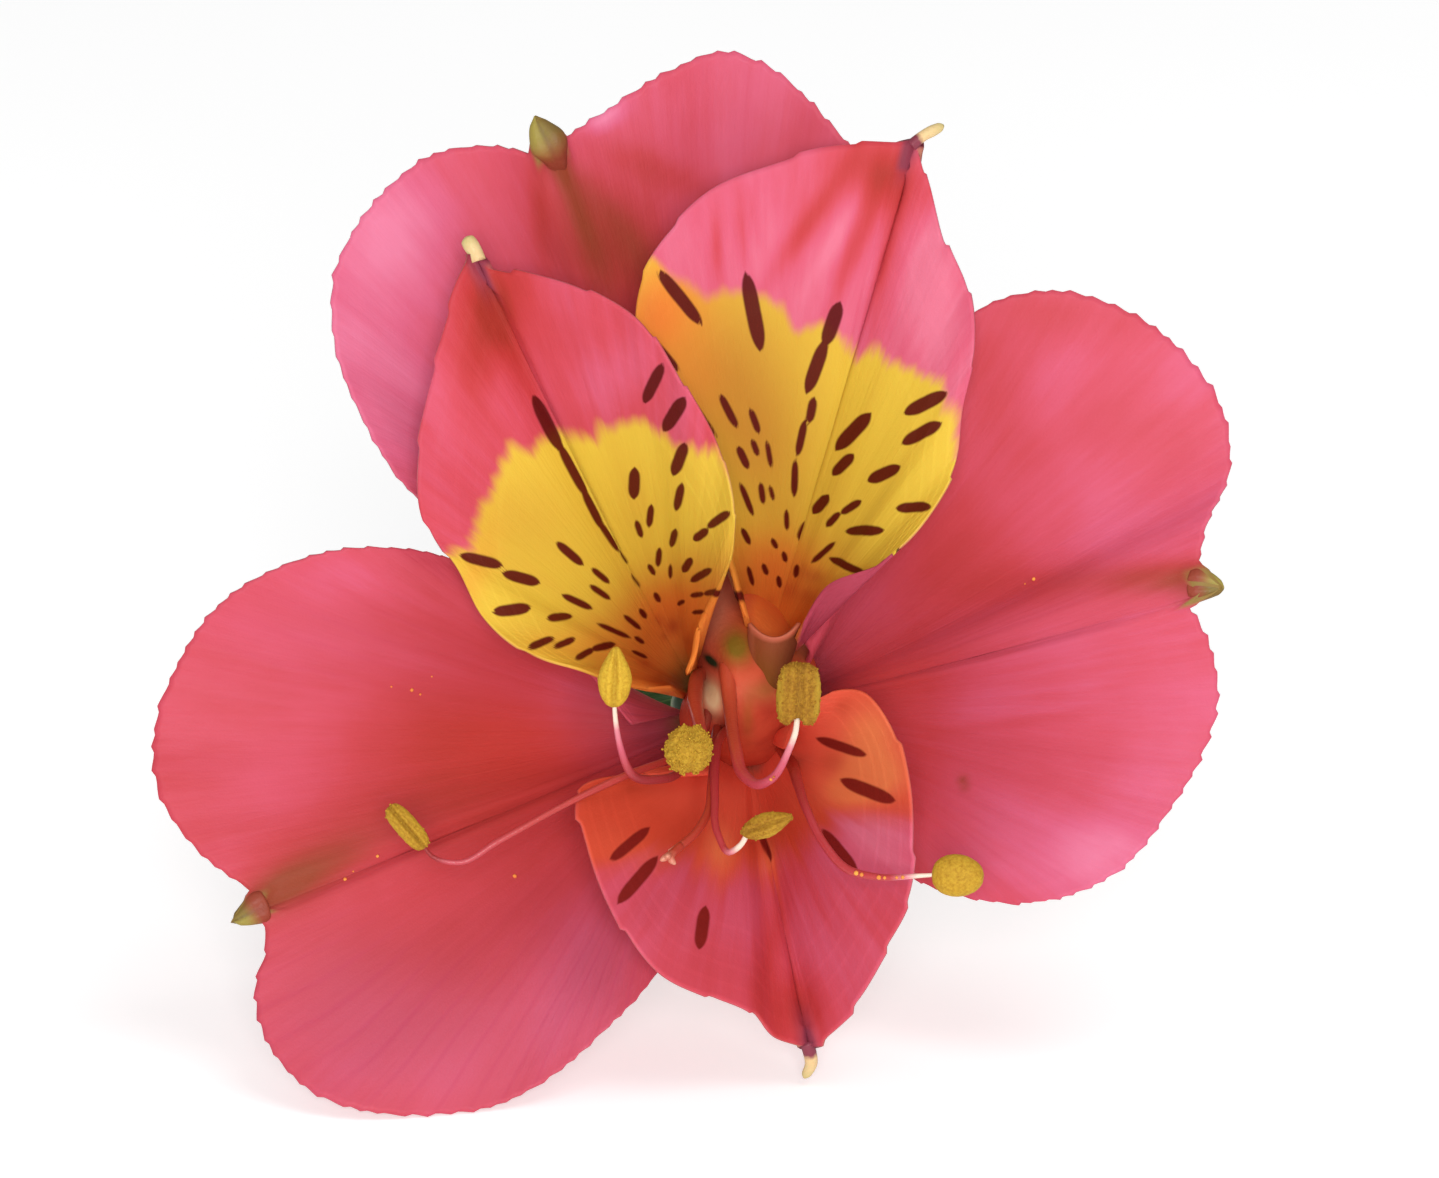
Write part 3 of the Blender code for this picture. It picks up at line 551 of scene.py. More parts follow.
# Soft patches, each with its middle, its two radii, its turn in degrees and its strength; a
# tepal that a table leaves out has none of them
# Deep patches are partly the tepals' own deeper and paler pinks and partly painted light: negative
# ones lighten places that lie in shade, the small negative one high on the top outer tepal is a
# painted highlight, and the thin one across the right outer tepal is painted shade along a fold.
DEEP_PINK_AND_PAINTED_LIGHT_PATCHES = {
    "outer_tepal_top": [
        (595, 225, 44, 90, 30, 0.3), (640, 260, 60, 70, 30, 0.2), (560, 260, 50, 50, 0, 0.12),
        (660, 172, 60, 16, -24, 0.25), (541, 205, 10, 60, 4, 0.25), (605, 117, 22, 11, 30, -0.4),
        (400, 220, 60, 50, 0, -0.3), (360, 320, 60, 90, 0, -0.3), (400, 430, 50, 60, 0, -0.25),
        (480, 210, 40, 60, 0, 0.05),
    ],
    "outer_tepal_right": [
        (1180, 570, 60, 12, 8, 0.28), (1060, 585, 110, 22, 0, 0.15), (950, 540, 60, 90, 30, 0.15),
        (925, 790, 30, 70, 0, 0.05), (1120, 440, 70, 50, 0, 0.2), (1060, 310, 60, 30, 0, 0.2),
        (1050, 650, 100, 40, -20, -0.12), (985, 700, 60, 50, 0, -0.18),
        (1000, 840, 50, 50, 0, -0.2), (1090, 860, 60, 40, 0, -0.35), (1020, 722, 90, 6, 9, 0.1),
        (985, 345, 40, 40, 0, 0.1), (1150, 800, 60, 60, 0, -0.1), (1080, 480, 70, 60, 0, -0.08),
        (1010, 420, 30, 80, 30, 0.12),
    ],
    "outer_tepal_left": [
        (470, 790, 130, 60, 20, 0.24), (290, 880, 60, 30, 30, 0.35), (400, 830, 110, 70, 0, 0.1),
        (390, 960, 120, 60, 0, 0.24), (590, 720, 70, 50, 0, -0.5), (420, 730, 60, 50, 0, 0.15),
        (170, 760, 60, 110, 0, 0.1), (600, 945, 50, 60, 0, -0.25), (340, 580, 60, 30, 0, -0.15),
        (560, 1010, 50, 70, -30, -0.25), (420, 1070, 80, 30, 0, -0.1),
    ],
    "inner_tepal_right": [
        (885, 175, 50, 34, -30, 0.62), (812, 218, 11, 66, -34, 0.4), (855, 246, 10, 64, -21, 0.4),
        (888, 250, 8, 60, -13, 0.35), (834, 240, 8, 50, -28, -0.2), (800, 190, 50, 40, 0, 0.05),
        (940, 330, 30, 60, 0, -0.15), (745, 200, 10, 60, 20, 0.1), (742, 235, 6, 34, 6, 0.25),
        (716, 245, 6, 34, 0, 0.2), (930, 260, 20, 70, 0, -0.2),
    ],
    "inner_tepal_left": [
        (490, 300, 34, 44, 0, 0.5), (480, 355, 24, 50, -10, 0.35), (515, 360, 12, 60, 26, 0.35),
        (570, 350, 50, 40, 0, 0.02), (440, 440, 26, 60, 0, -0.1), (620, 370, 50, 30, 30, -0.2),
        (680, 400, 22, 60, -20, -0.1),
    ],
    "inner_tepal_lower": [
        (800, 1010, 30, 40, 0, 0.4), (775, 930, 14, 90, -18, 0.2), (830, 960, 60, 50, 8, -0.15),
        (870, 830, 50, 50, 0, -0.3), (700, 970, 60, 30, 20, 0.05), (640, 920, 30, 30, 0, 0.05),
        (760, 1000, 30, 50, 20, 0.15),
    ],
}
MAUVE_PATCHES = {
    "outer_tepal_right": [(970, 830, 50, 60, 0, 0.3), (860, 610, 50, 60, 0, 0.5)],
    "outer_tepal_left": [
        (430, 1040, 170, 80, -10, 0.7), (600, 970, 80, 70, 0, 0.5), (330, 980, 60, 60, 0, 0.2),
        (330, 640, 120, 50, 0, 0.25),
    ],
    "inner_tepal_right": [(846, 596, 56, 22, 40, 3.5)],
    "inner_tepal_left": [(492, 268, 16, 20, 0, 0.7)],
}
# Olive patches are the outer tepals' own olive flush; on the upper inner tepals they are partly
# painted shade, a darker olive gold over shaded parts of them.
OLIVE_AND_PAINTED_SHADE_PATCHES = {
    "outer_tepal_top": [
        (555, 158, 12, 30, 30, 0.9), (574, 205, 13, 50, 26, 0.6), (592, 255, 14, 60, 18, 0.5),
        (608, 212, 13, 60, 40, 0.45), (636, 262, 24, 50, 30, 0.45), (566, 270, 14, 50, 8, 0.2),
    ],
    "outer_tepal_right": [
        (1175, 578, 36, 12, 6, 0.8), (1120, 580, 60, 14, 4, 0.35), (965, 784, 5, 8, 0, 1.3),
    ],
    "outer_tepal_left": [(278, 891, 38, 16, 30, 1.1), (325, 864, 62, 20, 28, 0.7)],
    "inner_tepal_right": [
        (716, 375, 86, 100, -15, 0.95), (765, 460, 50, 70, 0, 0.55), (780, 530, 30, 40, 0, 0.2),
    ],
    "inner_tepal_left": [
        (640, 505, 24, 40, 10, 0.2), (520, 520, 60, 50, 0, 0.35), (550, 630, 60, 20, 0, 0.2),
    ],
}
# Warm patches are partly the tepals' own orange and coral and partly painted light: brighter coral
# and gold laid where other parts shade the tepals near the throat.
WARM_AND_PAINTED_LIGHT_PATCHES = {
    "outer_tepal_right": [(880, 690, 60, 60, 0, 0.5)],
    "outer_tepal_left": [(520, 745, 90, 50, 0, 0.5), (600, 718, 56, 46, 0, 0.4)],
    "inner_tepal_right": [
        (658, 315, 44, 60, -20, 0.95), (690, 390, 30, 50, -20, 0.3), (790, 610, 70, 36, 0, 0.9),
        (770, 560, 50, 30, 0, 0.8),
    ],
    "inner_tepal_left": [
        (690, 640, 40, 50, 0, 1.0), (665, 610, 36, 30, 0, 0.6), (650, 680, 60, 20, 0, 0.7),
        (610, 640, 40, 24, 0, 0.35), (560, 650, 50, 16, 0, 0.25), (470, 580, 16, 60, -20, 0.3),
    ],
    "inner_tepal_lower": [
        (868, 735, 48, 46, 0, 1.0), (860, 788, 56, 26, 10, 1.0), (718, 850, 20, 34, 0, 0.9),
        (768, 862, 14, 26, -20, 0.7), (640, 860, 50, 20, -20, 0.35),
    ],
}

# Floor of the throat: rose, moss, amber, umber, cream and the dark gap, a painted shadow, as soft
# patches
THROAT_PATCHES = {
    "rose": [(714, 612, 16, 40, -20, 1.2), (745, 690, 50, 14, 0, 0.3)],
    "moss": [(737, 646, 17, 19, 0, 1.2), (748, 718, 6, 22, 0, 0.4), (766, 690, 18, 12, 20, 0.5)],
    "amber": [(776, 611, 26, 26, 0, 1.8)],
    "umber": [(790, 650, 22, 60, 20, 0.8)],
    "cream": [(712, 696, 8, 15, 12, 1.6)],
    "gap": [(711, 661, 10, 4, -42, 1.5)],
}

# Loose pollen that has dropped on a tepal or filament: by photograph pixel, with its radius in
# millimetres, and how far its middle is lifted
FALLEN_POLLEN = [
    ("outer_tepal_left", 515, 875, 0.16), ("outer_tepal_left", 379, 858, 0.12),
    ("outer_tepal_left", 347, 879, 0.15), ("outer_tepal_left", 410, 690, 0.14),
    ("outer_tepal_left", 392, 686, 0.08), ("outer_tepal_left", 420, 693, 0.09),
    ("outer_tepal_left", 432, 678, 0.07), ("outer_tepal_left", 352, 868, 0.07),
    ("outer_tepal_right", 1033, 579, 0.15), ("outer_tepal_right", 1024, 583, 0.07),
    ("filament_6", 858, 870, 0.18), ("filament_6", 862, 876, 0.15), ("filament_6", 865, 867, 0.14),
    ("filament_6", 879, 874, 0.17), ("filament_6", 883, 870, 0.12), ("filament_6", 903, 869, 0.14),
    ("filament_6", 898, 873, 0.11), ("filament_3", 768, 773, 0.13), ("filament_3", 765, 768, 0.1),
    ("filament_3", 773, 776, 0.1),
]
DROP_LIFT = {"tepal": 0.22, "filament_6": 0.4, "filament_3": 0.42}

# Pink of the tepals from pale to deep, and how deep the outer ones are by their reach as a share
# of OUTER_REACH; all colours are linear, and reaches are in millimetres from the throat
PINKS = [
    (0.0, (0.620, 0.158, 0.265)),
    (0.2, (0.570, 0.101, 0.188)),
    (0.4, (0.520, 0.066, 0.106)),
    (0.6, (0.460, 0.045, 0.058)),
    (0.8, (0.400, 0.034, 0.034)),
    (1.0, (0.310, 0.028, 0.020)),
]
# Next to the throat the outer tepals are kept paler than a little way out: painted light against
# the shade there.
OUTER_DEPTH = [(0.0, 0.42), (0.2, 0.46), (0.3, 0.56), (0.46, 0.48), (0.62, 0.38), (1.0, 0.3)]
OUTER_REACH = 42.0
INNER_TINT = (0.97, 0.88, 0.8)
MAUVE = (0.45, 0.070, 0.118)
MAUVE_VEIN = (0.40, 0.03, 0.09)
BACK_MAUVE = (0.38, 0.050, 0.085)
BACK_VEIN = (0.38, 0.045, 0.085)
# Coral is laid by the warm patches and is brighter than the pinks there: partly painted light
# where inner tepals and anthers shade the outer ones.
CORAL = (0.60, 0.056, 0.034)
BRONZE = (0.25, 0.043, 0.017)
MUCRO_GREEN = (0.24, 0.150, 0.038)
NECK_PURPLE = (0.20, 0.028, 0.050)
CLAW_GREEN = (0.30, 0.20, 0.05)
UNDER_PINK = (0.58, 0.17, 0.19)
STREAK = (0.088, 0.0025, 0.002)
LOWER_STREAK = (0.17, 0.009, 0.006)
BLOTCH = (0.34, 0.03, 0.01)

# Golden zones, from the mouth of the tepal outwards, and the orange zone by its warmth
# The first golds, by the mouth, are kept light: painted light that lifts the shade there.
GOLDS = [
    (0.0, (0.62, 0.095, 0.022)),
    (0.25, (0.60, 0.140, 0.024)),
    (0.5, (0.52, 0.210, 0.026)),
    (0.75, (0.56, 0.310, 0.032)),
    (1.0, (0.62, 0.410, 0.040)),
]
GOLD_REACH = (2.5, 12.5)
# Olive gold is partly the inner tepals' own olive and partly painted shade; warm gold is partly
# their own orange and partly painted light; mouth gold is painted light that lifts the shaded
# mouth of the tepal.
OLIVE_AND_SHADE_GOLD = (0.450, 0.200, 0.022)
WARM_AND_LIT_GOLD = (0.64, 0.165, 0.024)
LIT_MOUTH_GOLD = (0.90, 0.290, 0.050)
MOUTH_GOLD_REACH = (7.5, 4.0)
ORANGES = [
    (0.0, (0.52, 0.056, 0.026)),
    (0.4, (0.58, 0.078, 0.036)),
    (0.75, (0.64, 0.120, 0.052)),
    (1.0, (0.68, 0.170, 0.060)),
]
# Mouth orange is painted light that lifts the shaded mouth of the lower tepal.
LIT_MOUTH_ORANGE = (0.84, 0.125, 0.070)
MOUTH_ORANGE_REACH = (9.5, 4.5)

# Colours along a filament and along the style, by the share of this length from the end
FILAMENT_SPAN = 20.0
WHITE_TO_PINK = [
    (0.0, (0.76, 0.60, 0.48)),
    (0.07, (0.76, 0.57, 0.46)),
    (0.105, (0.62, 0.190, 0.230)),
    (0.17, (0.52, 0.085, 0.130)),
]
PINK_STOPS = [
    *WHITE_TO_PINK, (0.3, (0.50, 0.065, 0.095)), (0.45, (0.45, 0.044, 0.050)),
    (0.62, (0.44, 0.050, 0.030)), (1.0, (0.44, 0.060, 0.026)),
]
# The short filament turns dark red beyond its pink: painted shade, so that it sinks into the
# shaded tepal behind it.
SHORT_PINK_TO_SHADE_STOPS = [
    *WHITE_TO_PINK, (0.24, (0.40, 0.046, 0.058)), (0.31, (0.29, 0.026, 0.030)),
    (1.0, (0.30, 0.026, 0.020)),
]
CRIMSON_STOPS = [
    *WHITE_TO_PINK[:3], (0.15, (0.42, 0.036, 0.042)), (0.6, (0.36, 0.026, 0.032)),
    (1.0, (0.38, 0.038, 0.022)),
]
FAINT_STOPS = [
    (0.0, (0.26, 0.020, 0.020)), (0.07, (0.26, 0.018, 0.020)), (0.12, (0.46, 0.060, 0.080)),
    (0.4, (0.42, 0.042, 0.040)), (1.0, (0.40, 0.038, 0.028)),
]
# The style's salmon end is partly its own pale stigma and partly a painted highlight.
STYLE_STOPS = [
    (0.0, (0.58, 0.230, 0.150)), (0.025, (0.50, 0.130, 0.080)), (0.06, (0.38, 0.036, 0.018)),
    (1.0, (0.34, 0.028, 0.014)),
]

# Cream points by the share of this length from the end, and the green hoods
POINT_SPAN = 2.6
POINT_STOPS = [
    (0.0, (0.50, 0.40, 0.15)), (0.35, (0.62, 0.46, 0.22)), (0.66, (0.66, 0.46, 0.22)),
    (0.78, NECK_PURPLE),
]
# The hood is paler green on its left half, partly painted light on its lit side over its own olive
# and brown; its fold colour is painted shade in the crease.
HOOD_GREEN = (0.290, 0.230, 0.044)
HOOD_BROWN = (0.145, 0.085, 0.016)
HOOD_CREASE_SHADE = (0.110, 0.060, 0.014)
HOOD_CLOUD = (0.240, 0.170, 0.040)
HOOD_NECK = (0.250, 0.044, 0.022)

# Throat, with the tone of each of its patches in the order they are laid, and the rolled foot
THROAT_CORALS = [(0.3, (0.46, 0.046, 0.024)), (0.7, (0.60, 0.085, 0.040))]
THROAT_TONES = {
    "rose": (0.62, 0.165, 0.090),
    "umber": (0.36, 0.085, 0.026),
    "moss": (0.170, 0.098, 0.008),
    "amber": (0.66, 0.150, 0.030),
    "cream": (0.74, 0.52, 0.28),
    # The gap tone is painted shadow: a near-black green where the throat shows only shade.
    "gap": (0.012, 0.030, 0.012),
}
ROLLED_FOOT_STOPS = [
    (0.0, (0.46, 0.130, 0.075)), (0.035, (0.40, 0.095, 0.050)), (0.08, (0.22, 0.050, 0.016)),
    (0.5, (0.19, 0.058, 0.009)), (0.75, (0.18, 0.068, 0.008)), (1.0, (0.36, 0.050, 0.020)),
]
ROLLED_FOOT_PALE = (0.42, 0.110, 0.055)
ROLLED_FOOT_DARK = (0.10, 0.022, 0.008)

# Pollen
LEMON_POLLEN = [(0.25, (0.44, 0.230, 0.014)), (0.6, (0.60, 0.380, 0.034))]
GOLD_POLLEN = [(0.3, (0.20, 0.080, 0.007)), (0.65, (0.38, 0.190, 0.018))]
LOOSE_POLLEN = [(0.3, (0.72, 0.16, 0.03)), (0.7, (0.80, 0.36, 0.06))]
POLLEN_SLIT = (0.17, 0.07, 0.008)
POLLEN_RIM = (0.52, 0.340, 0.034)

# Green parts. The flush and the cut face begin and end at these depths on the table, in metres.
OVARY_GREENS = [
    (0.1, (0.035, 0.080, 0.016)), (0.5, (0.070, 0.140, 0.028)), (0.9, (0.130, 0.120, 0.040)),
]
# Painted shade: the ovary's top is darkened where the claws stand over it.
OVARY_PAINTED_SHADE = (0.012, 0.036, 0.010)
STALK_GREENS = [(0.3, (0.065, 0.120, 0.022)), (0.7, (0.150, 0.240, 0.050))]
STALK_FLUSH = (0.22, 0.085, 0.05)
FLUSH_FROM_TO = (0.035, -0.02)
CUT_FROM_TO = (0.07035, 0.0706)
PITH = [(0.3, (0.30, 0.38, 0.14)), (0.65, (0.62, 0.66, 0.36))]
LEAF_GREENS = [
    (0.3, (0.022, 0.065, 0.016)), (0.5, (0.040, 0.115, 0.024)), (0.7, (0.075, 0.165, 0.035)),
]
LEAF_VEIN = (0.10, 0.20, 0.06)
LEAF_MIDRIB = (0.16, 0.26, 0.08)
LEAF_BACK = (0.10, 0.20, 0.075)

# Fibres and veins counted across each blade, broad tongues across any of them, the share of the
# space between two veins that a vein fills and its depth against the fibres
BLADE_LINES = {
    "outer_tepal_petal": (150.0, 46.0),
    "inner_tepal_petal": (90.0, 30.0),
    "lower_tepal_petal": (80.0, 26.0),
    "leaf_green": (60.0, 15.0),
}
TONGUES = 26.0
VEIN_HALF_WIDTH = 0.16
VEIN_FURROW = 0.12

# Cells of the skin in metres, and its clouds to the metre
PETAL_CELL = 0.00016
LEAF_CELL = 0.00025
CLOUD_SCALE = 160.0

# Each kind of skin: span and start of its roughness, depth of its relief in millimetres, and its
# sheen, specular level and share of light from inside
SKINS = {
    "outer_tepal": (0.16, 0.42, 0.05, 0.02, 0.18, 0.14),
    "inner_tepal": (0.16, 0.42, 0.05, 0.0, 0.12, 0.12),
    "filament": (0.25, 0.22, 0.03, 0.0, 0.4, 0.15),
    "point": (0.25, 0.35, 0.06, 0.0, 0.35, 0.15),
    "hood": (0.3, 0.35, 0.05, 0.0, 0.25, 0.1),
    "throat": (0.3, 0.55, 0.05, 0.0, 0.1, 0.2),
    "rolled_foot": (0.3, 0.45, 0.04, 0.0, 0.1, 0.2),
    "anther": (0.3, 0.5, 0.05, 0.0, 0.12, 0.08),
    "loose_pollen": (0.3, 0.4, 0.0, 0.0, 0.3, 0.1),
    "ovary": (0.3, 0.4, 0.05, 0.0, 0.4, 0.05),
    "stalk": (0.25, 0.32, 0.06, 0.0, 0.4, 0.05),
    "leaf": (0.25, 0.28, 0.08, 0.0, 0.45, 0.05),
}
SHEEN_ROUGHNESS = 0.45
SHEEN_TINT = (1.0, 0.75, 0.8)
LIGHT_REACH = (0.6, 0.25, 0.2)

# Floor and light, in metres and watts: each lamp's place, size and power
FLOOR_SIZE = 8.0
FLOOR_GREYS = [(0.3, (0.90, 0.90, 0.90)), (0.7, (0.94, 0.94, 0.94))]
FLOOR_GLOW = 0.36
SKY_STRENGTH = 0.46
LAMPS = {
    "key_light": ((0.60, -0.95, 1.75), 0.9, 7.5),
    "front_light": ((0.03, -1.50, 0.43), 0.4, 17.3),
}


def unit(vector):
    return vector / np.linalg.norm(vector)


def units(vectors):
    return vectors / np.linalg.norm(vectors, axis=1)[:, None]


def hump(values, width):
    """A soft hump: 1 where the values are nought, near 0 from twice the width on."""
    return np.exp(-((values / width) ** 2))


def face_to_table(points):
    """Points of the bloom's face frame, in table millimetres."""
    points = np.asarray(points, dtype=float)
    across = points[..., 0:1] * FACE_ACROSS
    return FACE_CENTRE + across + points[..., 1:2] * FACE_UP + points[..., 2:3] * FACE_OUT


def photo_place(points):
    """Where points of the face frame stand in the photograph, in pixels."""
    across, up, out = CAMERA_PLACE
    scale = PIXELS_PER_MM * out / (out - points[..., 2])
    x = FRAME_MIDDLE[0] + (points[..., 0] - across) * scale
    y = FRAME_MIDDLE[1] - (points[..., 1] - up) * scale
    return x, y


def smooth_path(points, fractions):
    """Points on one smooth curve through the given points, at fractions of its chord length."""
    points = np.array(points, dtype=float)
    chords = np.linalg.norm(np.diff(points, axis=0), axis=1)
    reach = np.concatenate(([0.0], np.cumsum(chords)))
    slopes = np.diff(points, axis=0) / chords[:, None]
    tangents = np.empty_like(points)
    tangents[0] = slopes[0]
    tangents[-1] = slopes[-1]
    before = chords[:-1, None]
    after = chords[1:, None]
    tangents[1:-1] = (slopes[:-1] * after + slopes[1:] * before) / (before + after)
    at = np.clip(fractions, 0.0, 1.0) * reach[-1]
    k = np.clip(np.searchsorted(reach, at, side="right") - 1, 0, len(chords) - 1)
    t = ((at - reach[k]) / chords[k])[:, None]
    chord = chords[k][:, None]
    start = (1 + 2 * t) * (1 - t) ** 2 * points[k] + t * (1 - t) ** 2 * chord * tangents[k]
    end = t * t * (3 - 2 * t) * points[k + 1] - t * t * (1 - t) * chord * tangents[k + 1]
    return start + end


def path_with_radii(table, steps):
    """Points and radii, at even steps, of a smooth path given as points with their radii."""
    made = smooth_path([(*point, radius) for point, radius in table], np.linspace(0, 1, steps + 1))
    return made[:, :3], made[:, 3]


def smooth_step(values, low, high):
    """0 where values are at low, 1 where they are at high."""
    share = np.clip((values - low) / (high - low), 0.0, 1.0)
    return share * share * (3 - 2 * share)


def ring_points(angles, radius, out):
    """Points of the face frame at angles round the throat, anticlockwise from the right."""
    turn = np.radians(angles)
    return np.stack((radius * np.cos(turn), radius * np.sin(turn), out + 0 * turn), axis=-1)


# Modelling


def clear_selection():
    bpy.ops.object.select_all(action="DESELECT")


def choose(piece):
    clear_selection()
    piece.select_set(True)
    bpy.context.view_layer.objects.active = piece


def name_piece(name):
    piece = bpy.context.object
    piece.name = name
    piece.data.name = name
    return piece


def vertex_places(mesh):
    places = np.empty(len(mesh.vertices) * 3)
    mesh.vertices.foreach_get("co", places)
    return places.reshape(-1, 3)


def set_places(mesh, places):
    mesh.vertices.foreach_set("co", np.ascontiguousarray(places, dtype=np.float32).ravel())
    mesh.update()


def apply_modifiers(piece):
    choose(piece)
    for modifier in list(piece.modifiers):
        bpy.ops.object.modifier_apply(modifier=modifier.name)


def dress(piece, surface, node=None):
    """Smooths a piece, gives it its material and body, and hides the solid it stands for."""
    choose(piece)
    bpy.ops.object.shade_smooth()
    piece.data.materials.clear()
    piece.data.materials.append(surface)
    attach(piece, "root")
    if node:
        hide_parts(node)


def laid_grid(name, points):
    """A flat grid whose corners are laid on points[column, row], in table millimetres."""
    columns = points.shape[0] - 1
    rows = points.shape[1] - 1
    clear_selection()
    bpy.ops.mesh.primitive_grid_add(x_subdivisions=columns, y_subdivisions=rows, size=2.0)
    piece = name_piece(name)
    flat = vertex_places(piece.data)
    column = np.rint((flat[:, 0] + 1) / 2 * columns).astype(int)
    row = np.rint((flat[:, 1] + 1) / 2 * rows).astype(int)
    set_places(piece.data, points[column, row] * MM)
    return piece, column, row


def ball(name, segments, rings):
    """A ball of radius 1 at the origin, as a piece and its corners' places."""
    clear_selection()
    bpy.ops.mesh.primitive_uv_sphere_add(segments=segments, ring_count=rings, radius=1.0)
    piece = name_piece(name)
    return piece, vertex_places(piece.data)


def give_attribute(piece, name, values):
    layer = piece.data.attributes.new(name, "FLOAT", "POINT")
    layer.data.foreach_set("value", np.ascontiguousarray(values, dtype=np.float32))


def lay_uv(piece, u, v):
    """Sets the piece's own UV map from values at its corners."""
    mesh = piece.data
    corner = np.empty(len(mesh.loops), dtype=np.int32)
    mesh.loops.foreach_get("vertex_index", corner)
    pairs = np.column_stack((u[corner], v[corner])).astype(np.float32)
    mesh.uv_layers.active.data.foreach_set("uv", pairs.ravel())


def thicken(piece, thickness, weights):
    """Gives an open blade its thickness in millimetres, in the given share at each corner.

    Returns 1 for each corner of its under side and 0 for the others.
    """
    group = piece.vertex_groups.new(name="body")
    level = np.rint(np.clip(weights, 0.0, 1.0) * THICKNESS_LEVELS).astype(int)
    for step in np.unique(level):
        found = np.nonzero(level == step)[0]
        group.add(found.tolist(), int(step) / THICKNESS_LEVELS, "REPLACE")
    wall = piece.modifiers.new("thickness", "SOLIDIFY")
    wall.thickness = thickness * MM
    wall.offset = 0.0
    wall.use_even_offset = False
    wall.vertex_group = "body"
    wall.thickness_vertex_group = 0.02
    count = len(piece.data.vertices)
    apply_modifiers(piece)
    piece.vertex_groups.clear()
    under = np.zeros(len(piece.data.vertices))
    under[count:] = 1.0
    return under


def patches(x, y, table):
    """Sum of the soft patches at photograph places."""
    total = np.zeros(x.shape)
    for middle_x, middle_y, radius_x, radius_y, turn, strength in table:
        turn = math.radians(turn)
        along = (x - middle_x) * math.cos(turn) - (y - middle_y) * math.sin(turn)
        over = (x - middle_x) * math.sin(turn) + (y - middle_y) * math.cos(turn)
        total += strength * np.exp(-((along / radius_x) ** 2) - (over / radius_y) ** 2)
    return total


def away_from_line(x, y, start, end):
    """Distance to a straight line between two ends, and the share of the way along it."""
    step_x = end[0] - start[0]
    step_y = end[1] - start[1]
    run = ((x - start[0]) * step_x + (y - start[1]) * step_y) / (step_x ** 2 + step_y ** 2)
    run = np.clip(run, 0.0, 1.0)
    return np.hypot(x - start[0] - step_x * run, y - start[1] - step_y * run), run


def streak_field(x, y, table):
    """Distance in millimetres to the nearest streak, negative inside it."""
    nearest = np.full(x.shape, np.inf)
    for x0, y0, x1, y1, width in table:
        away, run = away_from_line(x, y, (x0, y0), (x1, y1))
        half = STREAK_HALF * width * (1 - np.abs(2 * run - 1) ** 4)
        nearest = np.minimum(nearest, away - half)
    return nearest / PIXELS_PER_MM


def zone_field(x, y, outline):
    """Distance in millimetres to a closed outline, positive inside it."""
    corners = np.array(outline, dtype=float)
    inside = np.zeros(x.shape, dtype=bool)
    nearest = np.full(x.shape, np.inf)
    for (x0, y0), (x1, y1) in zip(corners, np.roll(corners, -1, axis=0)):
        crosses = (y0 > y) != (y1 > y)
        at = x0 + (y - y0) / (y1 - y0 + 1e-12) * (x1 - x0)
        inside ^= crosses & (x < at)
        nearest = np.minimum(nearest, away_from_line(x, y, (x0, y0), (x1, y1))[0])
    return np.where(inside, nearest, -nearest) / PIXELS_PER_MM


# Tepals


def margin_line(tepal, side, steps):
    """The margin's points for side from -1 (left of the claw) through 0 (the tip) to 1."""
    span = (steps + 1) / steps
    left = smooth_path(tepal["left"], (side + 1) * span)
    right = smooth_path(tepal["right"], (1 - side) * span)
    point = np.where(side[:, None] < 0, left, right)
    shoulder = np.where(side[:, None] < 0, tepal["left"][-1], tepal["right"][-1])
    rise = np.clip(1 - np.abs(side) * (steps + 1), 0.0, 1.0)[:, None]
    narrow = shoulder + (np.array(tepal["tip"]) - shoulder) * rise
    return np.where(rise > 0, narrow, point), rise[:, 0]


def tepal_rays(tepal, side, edge, t):
    """Points on the rays from the claw's foot to the margin, as [side, t]."""
    foot = ring_points(tepal["claw"] - side * CLAW_HALF_ANGLE, CLAW_RING_RADIUS, CLAW_FOOT_OUT)
    throat = np.array(tepal["throat"])
    outward = unit(np.array((throat[0], throat[1], 0.0)))
    leftward = np.array((-outward[1], outward[0], 0.0))
    neck = throat - leftward * side[:, None] * tepal["throat_half_width"]
    rise = foot + (neck - foot) * np.array((CLAW_FLARE, CLAW_FLARE, CLAW_STRAIGHT))
    spread = neck + (edge - neck) * BLADE_REACH
    spread[:, 2] += tepal["swell"] * (1 - side * side)
    run = t[None, :, None]
    point = (1 - run) ** 3 * foot[:, None] + 3 * run * (1 - run) ** 2 * rise[:, None]
    point = point + 3 * run * run * (1 - run) * spread[:, None] + run ** 3 * edge[:, None]
    midrib = hump(side, MIDRIB_GROOVE_WIDTH)
    groove = tepal["groove"] * midrib
    point[..., 2] -= groove[:, None] * np.sin(math.pi * t)[None, :] ** 2
    wave = MARGIN_WAVE * np.sin(2 * math.pi * MARGIN_WAVES * side + tepal["claw"])
    wave = wave * (1 - side ** 4) * (1 - midrib)
    point[..., 2] += wave[:, None] * t[None, :] ** 3
    return point


def teeth(count, rng, pitches):
    """Fine forward-leaning teeth along a margin, as an offset at each step."""
    offsets = np.zeros(count)
    at = 0
    while at < count:
        pitch = int(rng.choice(pitches))
        height = TOOTH_DEPTH * rng.uniform(0.45, 1.0)
        for step in range(pitch):
            share = step / pitch
            if at + step < count:
                offsets[at + step] = height * (1 - share) * min(1.0, step * 1.2 + 0.15)
        at += pitch
    return offsets


